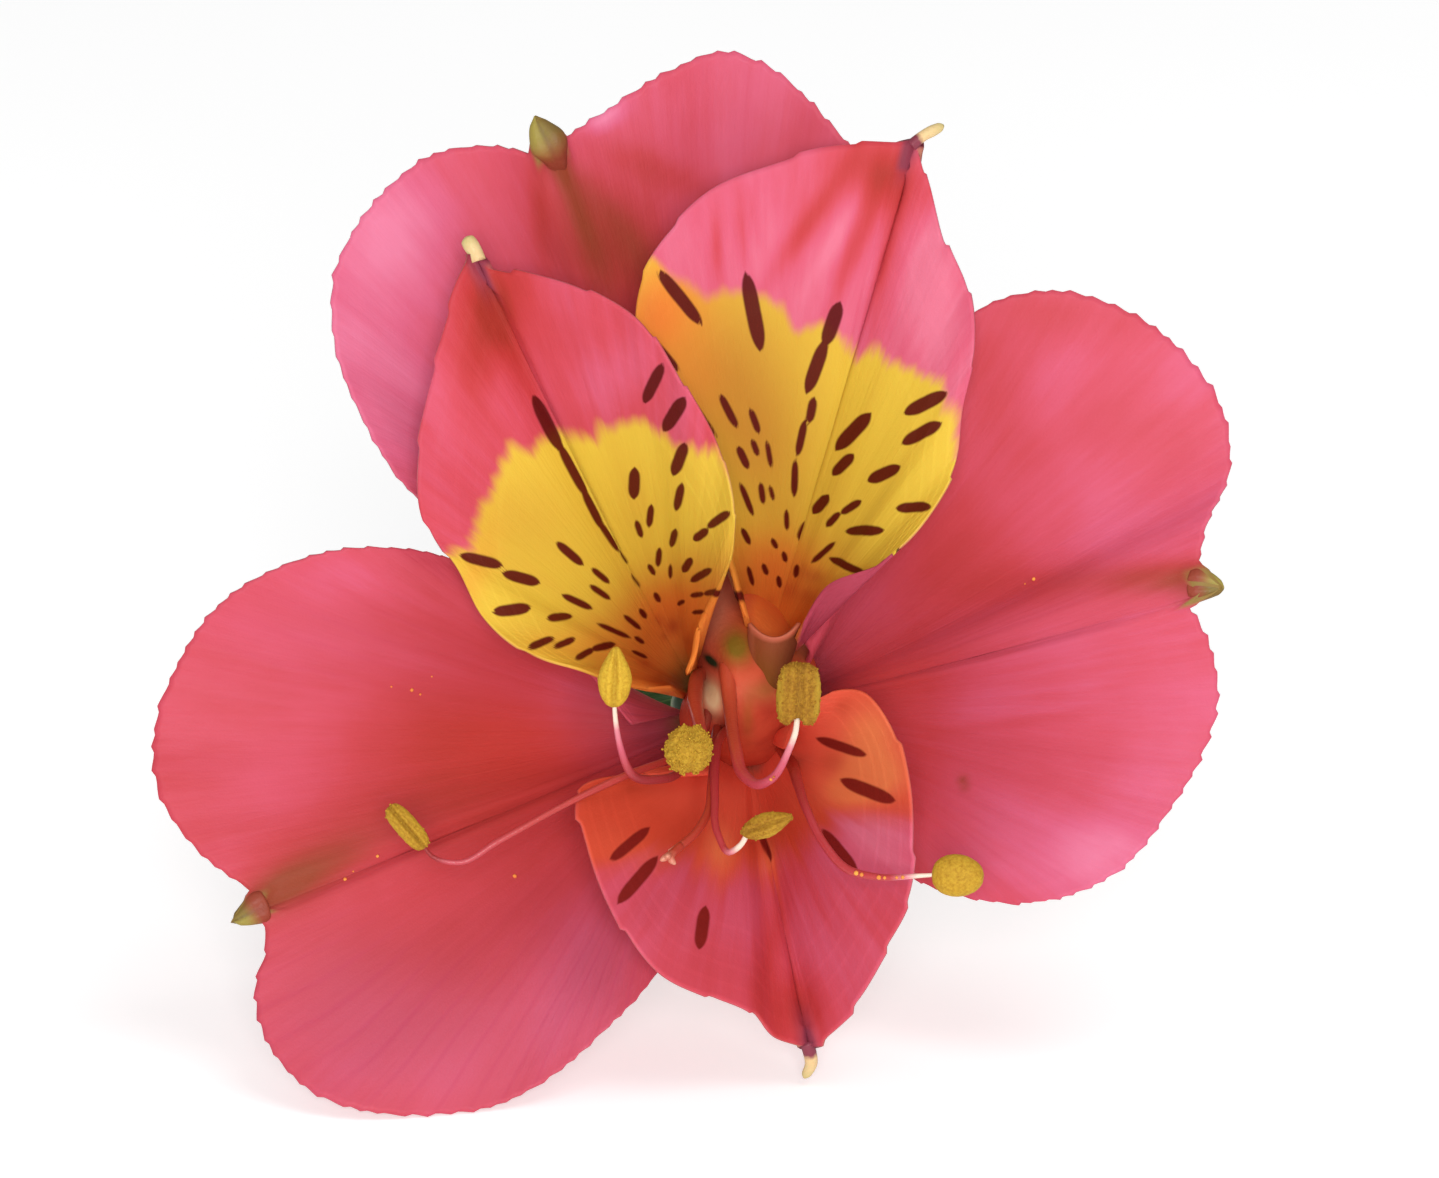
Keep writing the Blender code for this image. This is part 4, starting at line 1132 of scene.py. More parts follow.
def tepal_sheet(name, rng):
    """The fine grid of a tepal: its points in the face frame as [side, t], side, t and rise."""
    tepal = TEPALS[name]
    blade = BLADES[name.split("_")[0]]
    shoulder = 1 / (blade["margin_steps"] + 1)
    left = np.linspace(-1.0, -shoulder, blade["side_columns"])
    middle = np.linspace(-shoulder, shoulder, TIP_COLUMNS)[1:-1]
    side = np.concatenate((left, middle, -left[::-1]))
    claw_rows = np.linspace(0.0, CLAW_END, CLAW_ROWS)[:-1]
    blade_rows = np.linspace(CLAW_END, blade["rim"], blade["rows"])[:-1]
    rim_rows = np.linspace(blade["rim"], 1.0, blade["rim_rows"])
    t = np.concatenate((claw_rows, blade_rows, rim_rows))
    edge, rise = margin_line(tepal, side, blade["margin_steps"])
    points = tepal_rays(tepal, side, edge, t)
    outward = units(edge - np.array(tepal["throat"]))
    bite = teeth(len(side), rng, blade["tooth_pitches"])
    bite = bite * smooth_step(1 - np.abs(side), 0.05, 0.16) * (1 - rise)
    near_rim = smooth_step(t, blade["teeth_from"], 1.0)
    points += outward[:, None] * (bite[:, None] * near_rim[None, :])[..., None]
    phase = rng.uniform(0.0, 6.0)
    calm = (1 - rise) * (1 - hump(side, MIDRIB_GROOVE_WIDTH))
    pleats = soft_waves(side, t, *PLEATS_ACROSS_ALONG, phase)
    pleats = pleats + 0.5 * soft_waves(side, t, *FINE_PLEATS_ACROSS_ALONG, phase)
    pleats = blade["pleat_height"] * pleats
    points[..., 2] += pleats * calm[:, None] * smooth_step(t, 0.35, 0.8)[None, :]
    ruffle = soft_waves(side, t, *RUFFLES_ACROSS_ALONG, phase + 7.0)
    points[..., 2] += RUFFLE_HEIGHT * ruffle * calm[:, None] * smooth_step(t, 0.8, 1.0)[None, :]
    return points, side, t, rise


def soft_waves(side, t, across, along, phase):
    """Soft irregular waves over a tepal, as [side, t], from about -1 to 1."""
    waves = np.empty((len(side), len(t)))
    for j, run in enumerate(t):
        for i, place in enumerate(side):
            waves[i, j] = noise.noise(Vector((place * across, run * along, phase)))
    return waves * 1.6


def tepal(name, surface, slot, rng):
    """A tepal with its colour fields, which its material reads as attributes."""
    points, side, t, rise = tepal_sheet(name, rng)
    piece, column, row = laid_grid(name, face_to_table(points))
    x, y = photo_place(points)
    reach = np.hypot(x - THROAT_PIXEL[0], y - THROAT_PIXEL[1]) / PIXELS_PER_MM
    length = np.linalg.norm(points[:, -1:] - points, axis=2)
    width = np.linalg.norm(points - points[len(side) // 2][None, :], axis=2)
    mucro = rise[:, None] * smooth_step(t, 0.955, 0.975)[None, :]
    neck = smooth_step(width, 1.5, 0.5) * smooth_step(length, 4.0, 0.6)
    fields = {
        "reach": reach,
        "rib": width,
        "mucro": mucro,
        "neck": neck,
        # The deep, olive and warm fields carry painted light and painted shade as well as the
        # tepals' own tones.
        "deep": BASE_DEPTH[name] + patches(x, y, DEEP_PINK_AND_PAINTED_LIGHT_PATCHES[name]),
        "mauve": patches(x, y, MAUVE_PATCHES.get(name, ())),
        "olive": patches(x, y, OLIVE_AND_PAINTED_SHADE_PATCHES.get(name, ())),
        "warm": patches(x, y, WARM_AND_PAINTED_LIGHT_PATCHES.get(name, ())),
        "claw": smooth_step(t, 0.24, 0.08)[None, :] + 0 * reach,
    }
    if name in STREAKS:
        fields["mark"] = np.clip(streak_field(x, y, STREAKS[name]), *MARK_RANGE)
        fields["gold"] = np.clip(zone_field(x, y, GOLD_ZONES[name]), *GOLD_RANGE)
        spots = [(a, b, r, r, 0, s) for a, b, r, s in BLOTCHES[name]]
        fields["blotch"] = patches(x, y, spots)
    for field, values in fields.items():
        give_attribute(piece, field, values[column, row])
    lay_uv(piece, (side[column] + 1) / 2, reach[column, row] / 10)
    thin = BLADE_THICKNESS * (1 - RIM_THINNING * smooth_step(t, 0.8, 1.0))
    body = thin[None, :] * np.ones(reach.shape)
    body = body + MIDRIB_BODY * hump(width, 0.8) * smooth_step(t, 0.95, 0.4)[None, :]
    body = body + MUCRO_THICKNESS * (mucro * (1 - mucro) * 2.4)
    body = body + NECK_BODY * neck * (1 - mucro) * smooth_step(length, 0.2, 1.2)
    weight = body / MUCRO_THICKNESS
    give_attribute(piece, "under", thicken(piece, MUCRO_THICKNESS, weight[column, row]))
    dress(piece, surface, name)
    return points


# Rods: filaments, style and stalks


def rod(name, points, radii, sides):
    """A round tapering rod along the points, closed at both ends, in table millimetres."""
    clear_selection()
    bpy.ops.curve.primitive_nurbs_path_add()
    curve = bpy.context.object.data
    curve.splines.clear()
    spline = curve.splines.new("POLY")
    spline.points.add(len(points) - 1)
    for corner, point, radius in zip(spline.points, points, radii):
        corner.co = (*(point * MM), 1.0)
        corner.radius = radius
    spline.use_smooth = True
    curve.dimensions = "3D"
    curve.bevel_depth = MM
    curve.bevel_resolution = sides // 4
    curve.use_fill_caps = True
    bpy.ops.object.convert(target="MESH")
    piece = name_piece(name)
    bpy.ops.object.mode_set(mode="EDIT")
    bpy.ops.mesh.select_all(action="SELECT")
    bpy.ops.mesh.remove_doubles(threshold=1e-7)
    bpy.ops.mesh.normals_make_consistent(inside=False)
    bpy.ops.object.mode_set(mode="OBJECT")
    return piece


def nearest_steps(piece, points):
    """The places of a rod's corners in millimetres, and the step of its path nearest to each."""
    places = vertex_places(piece.data) / MM
    gaps = np.linalg.norm(places[:, None, :] - points[None, :, :], axis=2)
    return places, gaps.argmin(axis=1)


def rod_with_marks(name, path, radii, sides, surface, node=None):
    """A rod in the face frame that knows, at each corner, how far its end is."""
    points = face_to_table(path)
    piece = rod(name, points, radii, sides)
    nearest = nearest_steps(piece, points)[1]
    steps = np.linalg.norm(np.diff(points, axis=0), axis=1)
    left = np.concatenate((np.cumsum(steps[::-1])[::-1], [0.0]))
    give_attribute(piece, "left", left[nearest])
    dress(piece, surface, node)


def filament(number, surface):
    """A filament from its foot in the throat to its anther; it narrows where it joins it."""
    stamen = STAMENS[number]
    foot = ring_points(stamen["foot"], FILAMENT_RING_RADIUS, FILAMENT_FOOT_OUT)
    centre, along, _, _, sizes = anther_axes(number)
    last = np.array(stamen["path"][-1])
    near = -along if np.dot(last - centre, along) < 0 else along
    joint = centre + near * sizes[0] * ANTHER_JOINT
    share = np.linspace(0.0, 1.0, FILAMENT_STEPS + 1)
    path = smooth_path([foot, *stamen["path"], joint], share)
    thick, thin = stamen["radii"]
    radii = thick + (thin - thick) * share ** 1.3
    radii = radii * (1 + 0.1 * np.sin(share * 23 + number) * share)
    radii[-FILAMENT_NECK[-1]:] *= np.linspace(*FILAMENT_NECK)
    name = f"filament_{number}"
    rod_with_marks(name, path, radii, 16, surface, name)
    return path


def anther_axes(number):
    """An anther's centre, its long axis, the way it faces, its third axis and its half sizes."""
    centre, axis, sizes = STAMENS[number]["anther"]
    along = unit(np.array(axis))
    facing = np.array((0.0, 0.0, 1.0)) if abs(along[2]) < 0.8 else np.array((0.0, -1.0, 0.0))
    facing = unit(facing - along * np.dot(facing, along))
    return np.array(centre), along, facing, np.cross(facing, along), sizes


def anther(number, surface, pollen, rng):
    """Two pollen sacs side by side, opened along their grooves, with grains on them."""
    centre, along, facing, sideways, (half_length, half_width, half_depth) = anther_axes(number)
    look = ANTHER_LOOKS[number]
    piece, start = ball(f"anther_{number}", 64, 48)
    z = np.clip(start[:, 2], -1.0, 1.0)
    around = np.hypot(start[:, 0], start[:, 1])
    turn = np.arctan2(start[:, 1], start[:, 0])
    square = look["square"]
    girth = (1 - np.abs(z) ** square) ** (1 / square)
    girth = np.where(around < 1e-6, 0.0, girth)
    x = np.cos(turn) * girth
    y = np.sin(turn) * girth
    cleft = look["groove"] * hump(x, 0.2)
    ridge = look["ridge"] * hump(x, 0.09)
    slit = 0.2 * look["groove"] * hump(np.abs(x) - 0.55, 0.09)
    y = y * (1 - cleft + ridge - slit)
    near_end = smooth_step(-z, 0.2, 1.0)
    lobe = 1 - look["notch"] * hump(x, 0.3) * near_end
    narrow = 1 - look["taper"] * smooth_step(z, -0.1, 1.0)
    grain = np.array([noise.noise(Vector(p) * 6.0 + Vector((number, 0, 0))) for p in start])
    fine = np.array([noise.noise(Vector(p) * 15.0 + Vector((0, number, 0))) for p in start])
    swell = 1 + look["grain"] * (grain + 0.6 * fine)
    place = centre + sideways * (x * half_width * swell * narrow)[:, None]
    place = place + facing * (y * half_depth * swell)[:, None]
    place = place + along * (z * half_length * lobe * (1 + 0.4 * look["grain"] * grain))[:, None]
    table = face_to_table(place)
    set_places(piece.data, table * MM)
    give_attribute(piece, "tone", np.full(len(start), look["tone"]))
    give_attribute(piece, "pit", np.clip(cleft * 1.6 + slit * 3 - ridge, 0.0, 1.0))
    give_attribute(piece, "edge", np.clip(np.abs(x) * 1.15 - 0.25, 0.0, 1.0))
    dress(piece, surface, f"anther_{number}")
    if not look["grains"]:
        return
    chosen = rng.choice(len(table), size=look["grains"], replace=False)
    seats = table[chosen]
    outward = units(seats - face_to_table(centre))
    sizes = rng.uniform(0.055, 0.1, look["grains"])
    seats = seats + outward * sizes[:, None] * 0.2
    grains = grain_cloud(f"pollen_{number}", seats, sizes)
    give_attribute(grains, "tone", np.full(len(grains.data.vertices), look["tone"]))
    dress(grains, pollen)


def grain_cloud(name, seats, sizes):
    """One few-sided grain, repeated at each seat with its own size, as one mesh."""
    clear_selection()
    bpy.ops.mesh.primitive_ico_sphere_add(subdivisions=1, radius=1.0)
    piece = name_piece(name)
    grain = vertex_places(piece.data)
    faces = np.array([tuple(face.vertices) for face in piece.data.polygons])
    corners = []
    polygons = []
    for k, (seat, size) in enumerate(zip(seats, sizes)):
        corners.append((grain * size + seat) * MM)
        polygons.append(faces + k * len(grain))
    piece.data.clear_geometry()
    piece.data.from_pydata(np.vstack(corners).tolist(), [], np.vstack(polygons).tolist())
    piece.data.update()
    return piece


def style(surface):
    """The style with its three short blunt stigma lobes."""
    path = smooth_path(STYLE_PATH, np.linspace(0.0, 1.0, STYLE_STEPS + 1))
    radii = np.linspace(*STYLE_RADII, STYLE_STEPS + 1)
    rod_with_marks("style", path, radii, 16, surface, "style")
    for k, end in enumerate(STIGMA_LOBES):
        bend = (np.array(STYLE_PATH[-1]) + np.array(end)) / 2 + np.array(STIGMA_BEND)
        lobe = smooth_path([path[-3], bend, end], np.linspace(0.0, 1.0, STIGMA_STEPS + 1))
        thick = np.concatenate((np.linspace(0.27, 0.23, 14), (0.2, 0.15, 0.07)))
        rod_with_marks(f"stigma_{k + 1}", lobe, thick, 12, surface)


# Points, throat and fallen pollen


def cream_point(name, surface):
    """The cream point of an inner tepal, rounded off at its end."""
    path, radii = path_with_radii(POINTS[name], POINT_STEPS)
    radii[-3:] *= (0.9, 0.7, 0.35)
    rod_with_marks(f"{name}_point", path, radii, 16, surface)


def hood(name, surface):
    """The green hooded tip of an outer tepal, folded along its middle."""
    path, radii = path_with_radii(HOODS[name], HOOD_STEPS)
    radii[-4:] *= (0.92, 0.8, 0.6, 0.3)
    radii[:3] *= (0.3, 0.7, 0.92)
    points = face_to_table(path)
    piece = rod(f"{name}_hood", points, radii, 32)
    places, nearest = nearest_steps(piece, points)
    off = places - points[nearest]
    along = unit(path[-1] - path[0])
    leftward = face_to_table(unit(np.array((-along[1], along[0], 0.0)))) - FACE_CENTRE
    front = off @ FACE_OUT
    side = (off @ leftward) / radii[nearest]
    crease = 0.3 * hump(side, 0.2) * radii[nearest] * (front > 0)
    off = off - FACE_OUT * (front * (1 - HOOD_FLATNESS) + crease)[:, None]
    set_places(piece.data, (points[nearest] + off) * MM)
    give_attribute(piece, "along", nearest / HOOD_STEPS)
    give_attribute(piece, "side", side)
    dress(piece, surface)


def throat_lining(surface):
    """The closed floor of the throat, ridged towards the feet of the filaments."""
    piece, start = ball("throat_lining", 128, 64)
    around = np.minimum(1.0, np.hypot(start[:, 0], start[:, 1]))
    turn = np.degrees(np.arctan2(start[:, 1], start[:, 0])) % 360.0
    at, spread, depth = LINING_DENT
    radius = LINING_RADIUS - depth * hump(turn - at, spread)
    at, spread, height = LINING_TONGUE
    radius = (radius + height * hump(turn - at, spread)) * around
    ridge = np.cos(np.radians(LINING_RIDGES * (turn - LINING_RIDGE_TURN)))
    ridge = LINING_RIDGE_HEIGHT * (ridge * (around * (1 - around)) ** 2)
    rim = LINING_TOP - LINING_DROP
    top = LINING_TOP - LINING_DROP * around ** 2.3 + ridge
    out = np.where(start[:, 2] >= 0, top, rim - LINING_BODY * (1 - around ** 2))
    place = ring_points(turn, radius, out)
    place[:, :2] += LINING_MIDDLE
    set_places(piece.data, face_to_table(place) * MM)
    x, y = photo_place(place)
    for field, table in THROAT_PATCHES.items():
        give_attribute(piece, field, patches(x, y, table))
    dress(piece, surface)


def rolled_foot(surface):
    """The rolled foot of the right inner tepal: a wall round the front of its open mouth."""
    turn = np.radians(np.linspace(-FOOT_WALL_TURN, FOOT_WALL_TURN, 49))
    run = np.linspace(0.0, 1.0, FOOT_WALL_STEPS + 1)
    path, radius = path_with_radii(FOOT_WALL, FOOT_WALL_STEPS)
    points = np.tile(path, (len(turn), 1, 1))
    points[..., 0] += radius * np.sin(turn)[:, None]
    points[..., 1] += FOOT_WALL_SHOULDER * np.sin(turn)[:, None] ** 2 * (1 - run[None, :]) ** 2
    points[..., 2] += FOOT_WALL_BULGE * radius * np.cos(turn)[:, None]
    piece, column, row = laid_grid("inner_tepal_right_foot", face_to_table(points))
    give_attribute(piece, "along", run[row])
    give_attribute(piece, "side", np.sin(turn)[column])
    thicken(piece, FOOT_WALL_THICKNESS, np.ones(len(row)))
    dress(piece, surface)


def fallen_pollen(sheets, surface):
    """Loose pollen, each drop resting on the sheet that shows at its place in the photograph."""
    seats = []
    sizes = []
    for name, x, y, size in FALLEN_POLLEN:
        points = sheets[name].reshape(-1, 3)
        px, py = photo_place(points)
        nearest = np.argmin(np.hypot(px - x, py - y))
        lift = DROP_LIFT.get(name, DROP_LIFT["tepal"])
        seats.append(face_to_table(points[nearest] + np.array((0.0, 0.0, lift))))
        sizes.append(size)
    piece = grain_cloud("fallen_pollen", np.array(seats), np.array(sizes))
    dress(piece, surface)


# Ovary, stalks and leaves


def ovary(surface):
    """The ribbed ovary, turned from its profile."""
    piece, start = ball("ovary", 96, 48)
    profile = [(radius, out, 0.0) for radius, out in OVARY_PROFILE]
    share = np.arccos(np.clip(start[:, 2], -1.0, 1.0)) / math.pi
    ring = smooth_path(profile, share)
    turn = np.arctan2(start[:, 1], start[:, 0])
    rib = np.cos(OVARY_RIBS * (turn - OVARY_RIB_TURN))
    sharp = np.sign(rib) * np.abs(rib) ** 0.8
    radius = np.clip(ring[:, 0], 0.0, None) * (1 + OVARY_RIB_HEIGHT * sharp)
    place = np.stack((radius * np.cos(turn), radius * np.sin(turn), ring[:, 1]), axis=-1)
    set_places(piece.data, face_to_table(place) * MM)
    give_attribute(piece, "rib", rib)
    # The shade field darkens the ovary's top: painted shade.
    give_attribute(piece, "shade", smooth_step(place[:, 2], -31.6, -30.6))
    dress(piece, surface, "ovary")


def stalk(name, path, surface, cut):
    """A stalk with fine ridges; a cut one ends in a flat face with a raised rim."""
    points, radii = path_with_radii(path, STALK_STEPS)
    piece = rod(name, points, radii, 48)
    places, nearest = nearest_steps(piece, points)
    centre = points[nearest]
    share = nearest / STALK_STEPS
    off = places - centre
    turn = np.arctan2(off[:, 2], off[:, 0])
    ridges = 1 + 0.018 * np.cos(turn * 11 + 2 * np.sin(share * 9)) + 0.01 * np.cos(turn * 29)
    set_places(piece.data, (centre + off * ridges[:, None]) * MM)
    if cut:
        cut_face(piece)
    dress(piece, surface, name)


def cut_face(piece):
    """Insets the far end of the stem and sinks its pith a little."""
    mesh = piece.data
    end = max(face.center.y for face in mesh.polygons) - CUT_FACE_DEPTH * MM
    for part in (mesh.vertices, mesh.edges, mesh.polygons):
        part.foreach_set("select", [False] * len(part))
    for face in mesh.polygons:
        face.select = face.center.y > end and abs(face.normal.y) > 0.8
    choose(piece)
    bpy.ops.object.mode_set(mode="EDIT")
    bpy.ops.mesh.select_mode(type="FACE")
    bpy.ops.mesh.dissolve_faces()
    for thickness, depth in CUT_FACE_INSETS:
        bpy.ops.mesh.inset(thickness=thickness * MM, depth=depth * MM)
    bpy.ops.mesh.poke()
    bpy.ops.object.mode_set(mode="OBJECT")


def leaf_points(leaf, s, x):
    """Points of a leaf as [s, x]: s along the midrib from foot to tip, x across from -1 to 1."""
    p0, p1, p2, p3 = (np.array(point, dtype=float) for point in leaf["midrib"])

    def midrib(share):
        share = share[:, None]
        start = (1 - share) ** 3 * p0 + 3 * share * (1 - share) ** 2 * p1
        return start + 3 * share * share * (1 - share) * p2 + share ** 3 * p3

    centre = midrib(s)
    along = units(midrib(np.minimum(1.0, s + 0.01)) - midrib(np.maximum(0.0, s - 0.01)))
    upper = np.array(leaf["faces"])
    upper = units(upper - along * (along @ upper)[:, None])
    sideways = np.cross(along, upper)
    twist = math.pi * np.maximum(0.0, 1 - s / LEAF_TWIST_ENDS)[:, None]
    turned = sideways * np.cos(twist) + upper * np.sin(twist)
    normal = upper * np.cos(twist) - sideways * np.sin(twist)
    rising = np.sin(np.minimum(1.0, s / LEAF_WIDEST_AT) * math.pi / 2) ** 2.0
    falling = np.cos(np.maximum(0.0, s - LEAF_WIDEST_AT) / (1 - LEAF_WIDEST_AT) * math.pi / 2)
    widest = leaf["half_width"]
    width = np.where(
        s < LEAF_WIDEST_AT,
        LEAF_FOOT_HALF_WIDTH + (widest - LEAF_FOOT_HALF_WIDTH) * rising,
        LEAF_TIP_HALF_WIDTH + (widest - LEAF_TIP_HALF_WIDTH) * falling,
    )
    bend = np.abs(x)[None, :]
    wave = LEAF_WAVE * np.sin(2 * math.pi * LEAF_WAVES * s) * np.sin(math.pi * s)
    lift = LEAF_FOLD * bend * width[:, None] + wave[:, None] * (x * np.abs(x))[None, :]
    lift = lift + LEAF_FURROW * np.cos(x * 22)[None, :] * np.sin(math.pi * s)[:, None]
    reach = (x[None, :] * width[:, None])[..., None]
    return centre[:, None] + turned[:, None] * reach + normal[:, None] * lift[..., None]


def leaf(name, surface):
    """A leaf or bract, thinner towards its margins."""
    s = np.linspace(0.0, 1.0, 91)
    x = np.linspace(-1.0, 1.0, 37)
    points = leaf_points(LEAVES[name], s, x).transpose(1, 0, 2)
    piece, column, row = laid_grid(name, points)
    lay_uv(piece, (x[column] + 1) / 2, s[row] * 4)
    give_attribute(piece, "rib", np.abs(x)[column])
    weight = (1 - LEAF_MARGIN_THINNING * np.abs(x) ** 3)[column]
    give_attribute(piece, "under", thicken(piece, LEAF_THICKNESS, weight))
    dress(piece, surface, name)


# Materials: short calls for their nodes


def feed(tree, socket, value):
    if isinstance(value, bpy.types.NodeSocket):
        tree.links.new(value, socket)
    elif socket.type == "RGBA":
        socket.default_value = (*value, 1.0)
    else:
        socket.default_value = value


def calc(tree, operation, first, second=0.0, third=0.0):
    made = tree.nodes.new("ShaderNodeMath")
    made.operation = operation
    for socket, value in zip(made.inputs, (first, second, third)):
        feed(tree, socket, value)
    return made.outputs[0]


def add(tree, first, second):
    return calc(tree, "ADD", first, second)


def times(tree, first, second):
    return calc(tree, "MULTIPLY", first, second)


def stretch(tree, value, span, start):
    """Turns 0 to 1 into start to start + span."""
    return calc(tree, "MULTIPLY_ADD", value, span, start)


def swing(tree, value, span):
    """Turns 0 to 1 into a swing of that span about nought."""
    return stretch(tree, value, span, -span / 2)


def limit(tree, value, low, high, soft=True):
    """0 where value is at low, 1 where it is at high."""
    made = tree.nodes.new("ShaderNodeMapRange")
    made.interpolation_type = "SMOOTHSTEP" if soft else "LINEAR"
    feed(tree, made.inputs["Value"], value)
    feed(tree, made.inputs["From Min"], low)
    feed(tree, made.inputs["From Max"], high)
    return made.outputs[0]


def mix_colours(tree, share, first, second, mode="MIX"):
    made = tree.nodes.new("ShaderNodeMix")
    made.data_type = "RGBA"
    made.blend_type = mode
    made.clamp_factor = True
    feed(tree, made.inputs[0], share)
    feed(tree, made.inputs[6], first)
    feed(tree, made.inputs[7], second)
    return made.outputs[2]


def ramp(tree, share, stops):
    made = tree.nodes.new("ShaderNodeValToRGB")
    feed(tree, made.inputs[0], share)
    elements = made.color_ramp.elements
    while len(elements) < len(stops):
        elements.new(0.5)
    for element, (position, colour) in zip(elements, stops):
        element.position = position
        element.color = (*colour, 1.0)
    return made.outputs[0]


def read(tree, name):
    made = tree.nodes.new("ShaderNodeAttribute")
    made.attribute_name = name
    return made.outputs["Fac"]


def place_on_object(tree):
    return tree.nodes.new("ShaderNodeTexCoord").outputs["Object"]


def place_on_map(tree):
    made = tree.nodes.new("ShaderNodeSeparateXYZ")
    tree.links.new(tree.nodes.new("ShaderNodeTexCoord").outputs["UV"], made.inputs[0])
    return made.outputs[0], made.outputs[1]


def flat_place(tree, across, along):
    made = tree.nodes.new("ShaderNodeCombineXYZ")
    feed(tree, made.inputs[0], across)
    feed(tree, made.inputs[1], along)
    return made.outputs[0]


def speckle(tree, vector, scale, detail=3.0, rough=0.55):
    made = tree.nodes.new("ShaderNodeTexNoise")
    feed(tree, made.inputs["Vector"], vector)
    feed(tree, made.inputs["Scale"], scale)
    made.inputs["Detail"].default_value = detail
    made.inputs["Roughness"].default_value = rough
    return made.outputs["Fac"]


def new_group(name, inputs, outputs):
    """A node group of the named values, with its entry and exit."""
    group = bpy.data.node_groups.new(name, "ShaderNodeTree")
    for socket in inputs:
        kind = "NodeSocketVector" if socket == "Place" else "NodeSocketFloat"
        group.interface.new_socket(socket, in_out="INPUT", socket_type=kind)
    for socket in outputs:
        group.interface.new_socket(socket, in_out="OUTPUT", socket_type="NodeSocketFloat")
    entry = group.nodes.new("NodeGroupInput").outputs
    leave = group.nodes.new("NodeGroupOutput").inputs
    return group, entry, leave


def place_group(tree, group, values):
    made = tree.nodes.new("ShaderNodeGroup")
    made.node_tree = group
    for name, value in values.items():
        feed(tree, made.inputs[name], value)
    return made.outputs


def fibre_group():
    """Fine fibres, parallel veins and broad tongues that run along a tepal or leaf."""
    inputs = ("Across", "Along", "Fibres", "Veins")
    tree, entry, leave = new_group("petal_fibres", inputs, ("Fibre", "Vein", "Height", "Tongue"))
    across = entry["Across"]
    along = entry["Along"]

    def lines(count, run, detail, rough):
        place = flat_place(tree, times(tree, across, count), times(tree, along, run))
        return speckle(tree, place, 1.0, detail, rough)

    fibre = lines(entry["Fibres"], 1.3, 4.0, 0.6)
    drift = lines(5.0, 0.5, 2.0, 0.5)
    phase = add(tree, times(tree, across, entry["Veins"]), times(tree, drift, 2.0))
    gap = calc(tree, "ABSOLUTE", calc(tree, "SUBTRACT", calc(tree, "FRACT", phase), 0.5))
    vein = limit(tree, gap, VEIN_HALF_WIDTH, 0.0)
    height = calc(tree, "SUBTRACT", fibre, times(tree, vein, VEIN_FURROW))
    feed(tree, leave["Tongue"], lines(TONGUES, 0.9, 2.5, 0.5))
    feed(tree, leave["Fibre"], fibre)
    feed(tree, leave["Vein"], vein)
    feed(tree, leave["Height"], height)
    return tree


def skin_group():
    """The tiny cells of a petal's skin, and soft clouds of lighter and darker tone."""
    tree, entry, leave = new_group("petal_skin", ("Place", "Cell Size"), ("Cells", "Clouds"))
    scale = calc(tree, "DIVIDE", 1.0, entry["Cell Size"])
    feed(tree, leave["Cells"], speckle(tree, entry["Place"], scale, 2.0, 0.6))
    feed(tree, leave["Clouds"], speckle(tree, entry["Place"], CLOUD_SCALE, 3.0, 0.5))
    return tree


def feather_group():
    """A mask with a frayed edge, from a distance that is positive inside."""
    inputs = ("Distance", "Fray", "Fray Depth", "Blur")
    tree, entry, leave = new_group("feathered_edge", inputs, ("Mask",))
    fray = times(tree, calc(tree, "SUBTRACT", entry["Fray"], 0.5), entry["Fray Depth"])
    distance = add(tree, entry["Distance"], fray)
    mask = limit(tree, distance, times(tree, entry["Blur"], -1.0), entry["Blur"])
    feed(tree, leave["Mask"], mask)
    return tree


def new_surface(name):
    made = bpy.data.materials.new(name)
    made.use_nodes = True
    return made, made.node_tree, made.node_tree.nodes["Principled BSDF"]


def bump(tree, shader, height, depth):
    made = tree.nodes.new("ShaderNodeBump")
    made.inputs["Strength"].default_value = 1.0
    made.inputs["Distance"].default_value = depth * MM
    feed(tree, made.inputs["Height"], height)
    tree.links.new(made.outputs[0], shader.inputs["Normal"])


def soft_skin(shader, skin):
    """Constants of a thin living skin: a faint velvet sheen and a little light from inside."""
    sheen, specular, inside = SKINS[skin][3:]
    shader.inputs["Sheen Weight"].default_value = sheen
    shader.inputs["Sheen Roughness"].default_value = SHEEN_ROUGHNESS
    shader.inputs["Sheen Tint"].default_value = (*SHEEN_TINT, 1.0)
    shader.inputs["Specular IOR Level"].default_value = specular
    shader.inputs["Subsurface Weight"].default_value = inside
    shader.inputs["Subsurface Radius"].default_value = LIGHT_REACH
    shader.inputs["Subsurface Scale"].default_value = MM


def finish_surface(tree, shader, skin, colour, grain, relief=None):
    """Joins a colour, a roughness that follows the grain, and the relief, if it has one."""
    span, start, depth = SKINS[skin][:3]
    feed(tree, shader.inputs["Base Color"], colour)
    feed(tree, shader.inputs["Roughness"], stretch(tree, grain, span, start))
    if relief is not None:
        bump(tree, shader, relief, depth)
    soft_skin(shader, skin)


# Materials of the tepals


def blade_base(name, groups, cell_size):
    """What the surface of a tepal or leaf starts from: its tree, shader, fibres and skin."""
    made, tree, shader = new_surface(name)
    across, along = place_on_map(tree)
    fibres, veins = BLADE_LINES[name]
    values = {"Across": across, "Along": along, "Fibres": fibres, "Veins": veins}
    fibre = place_group(tree, groups["fibres"], values)
    values = {"Place": place_on_object(tree), "Cell Size": cell_size}
    skin = place_group(tree, groups["skin"], values)
    return made, tree, shader, fibre, skin


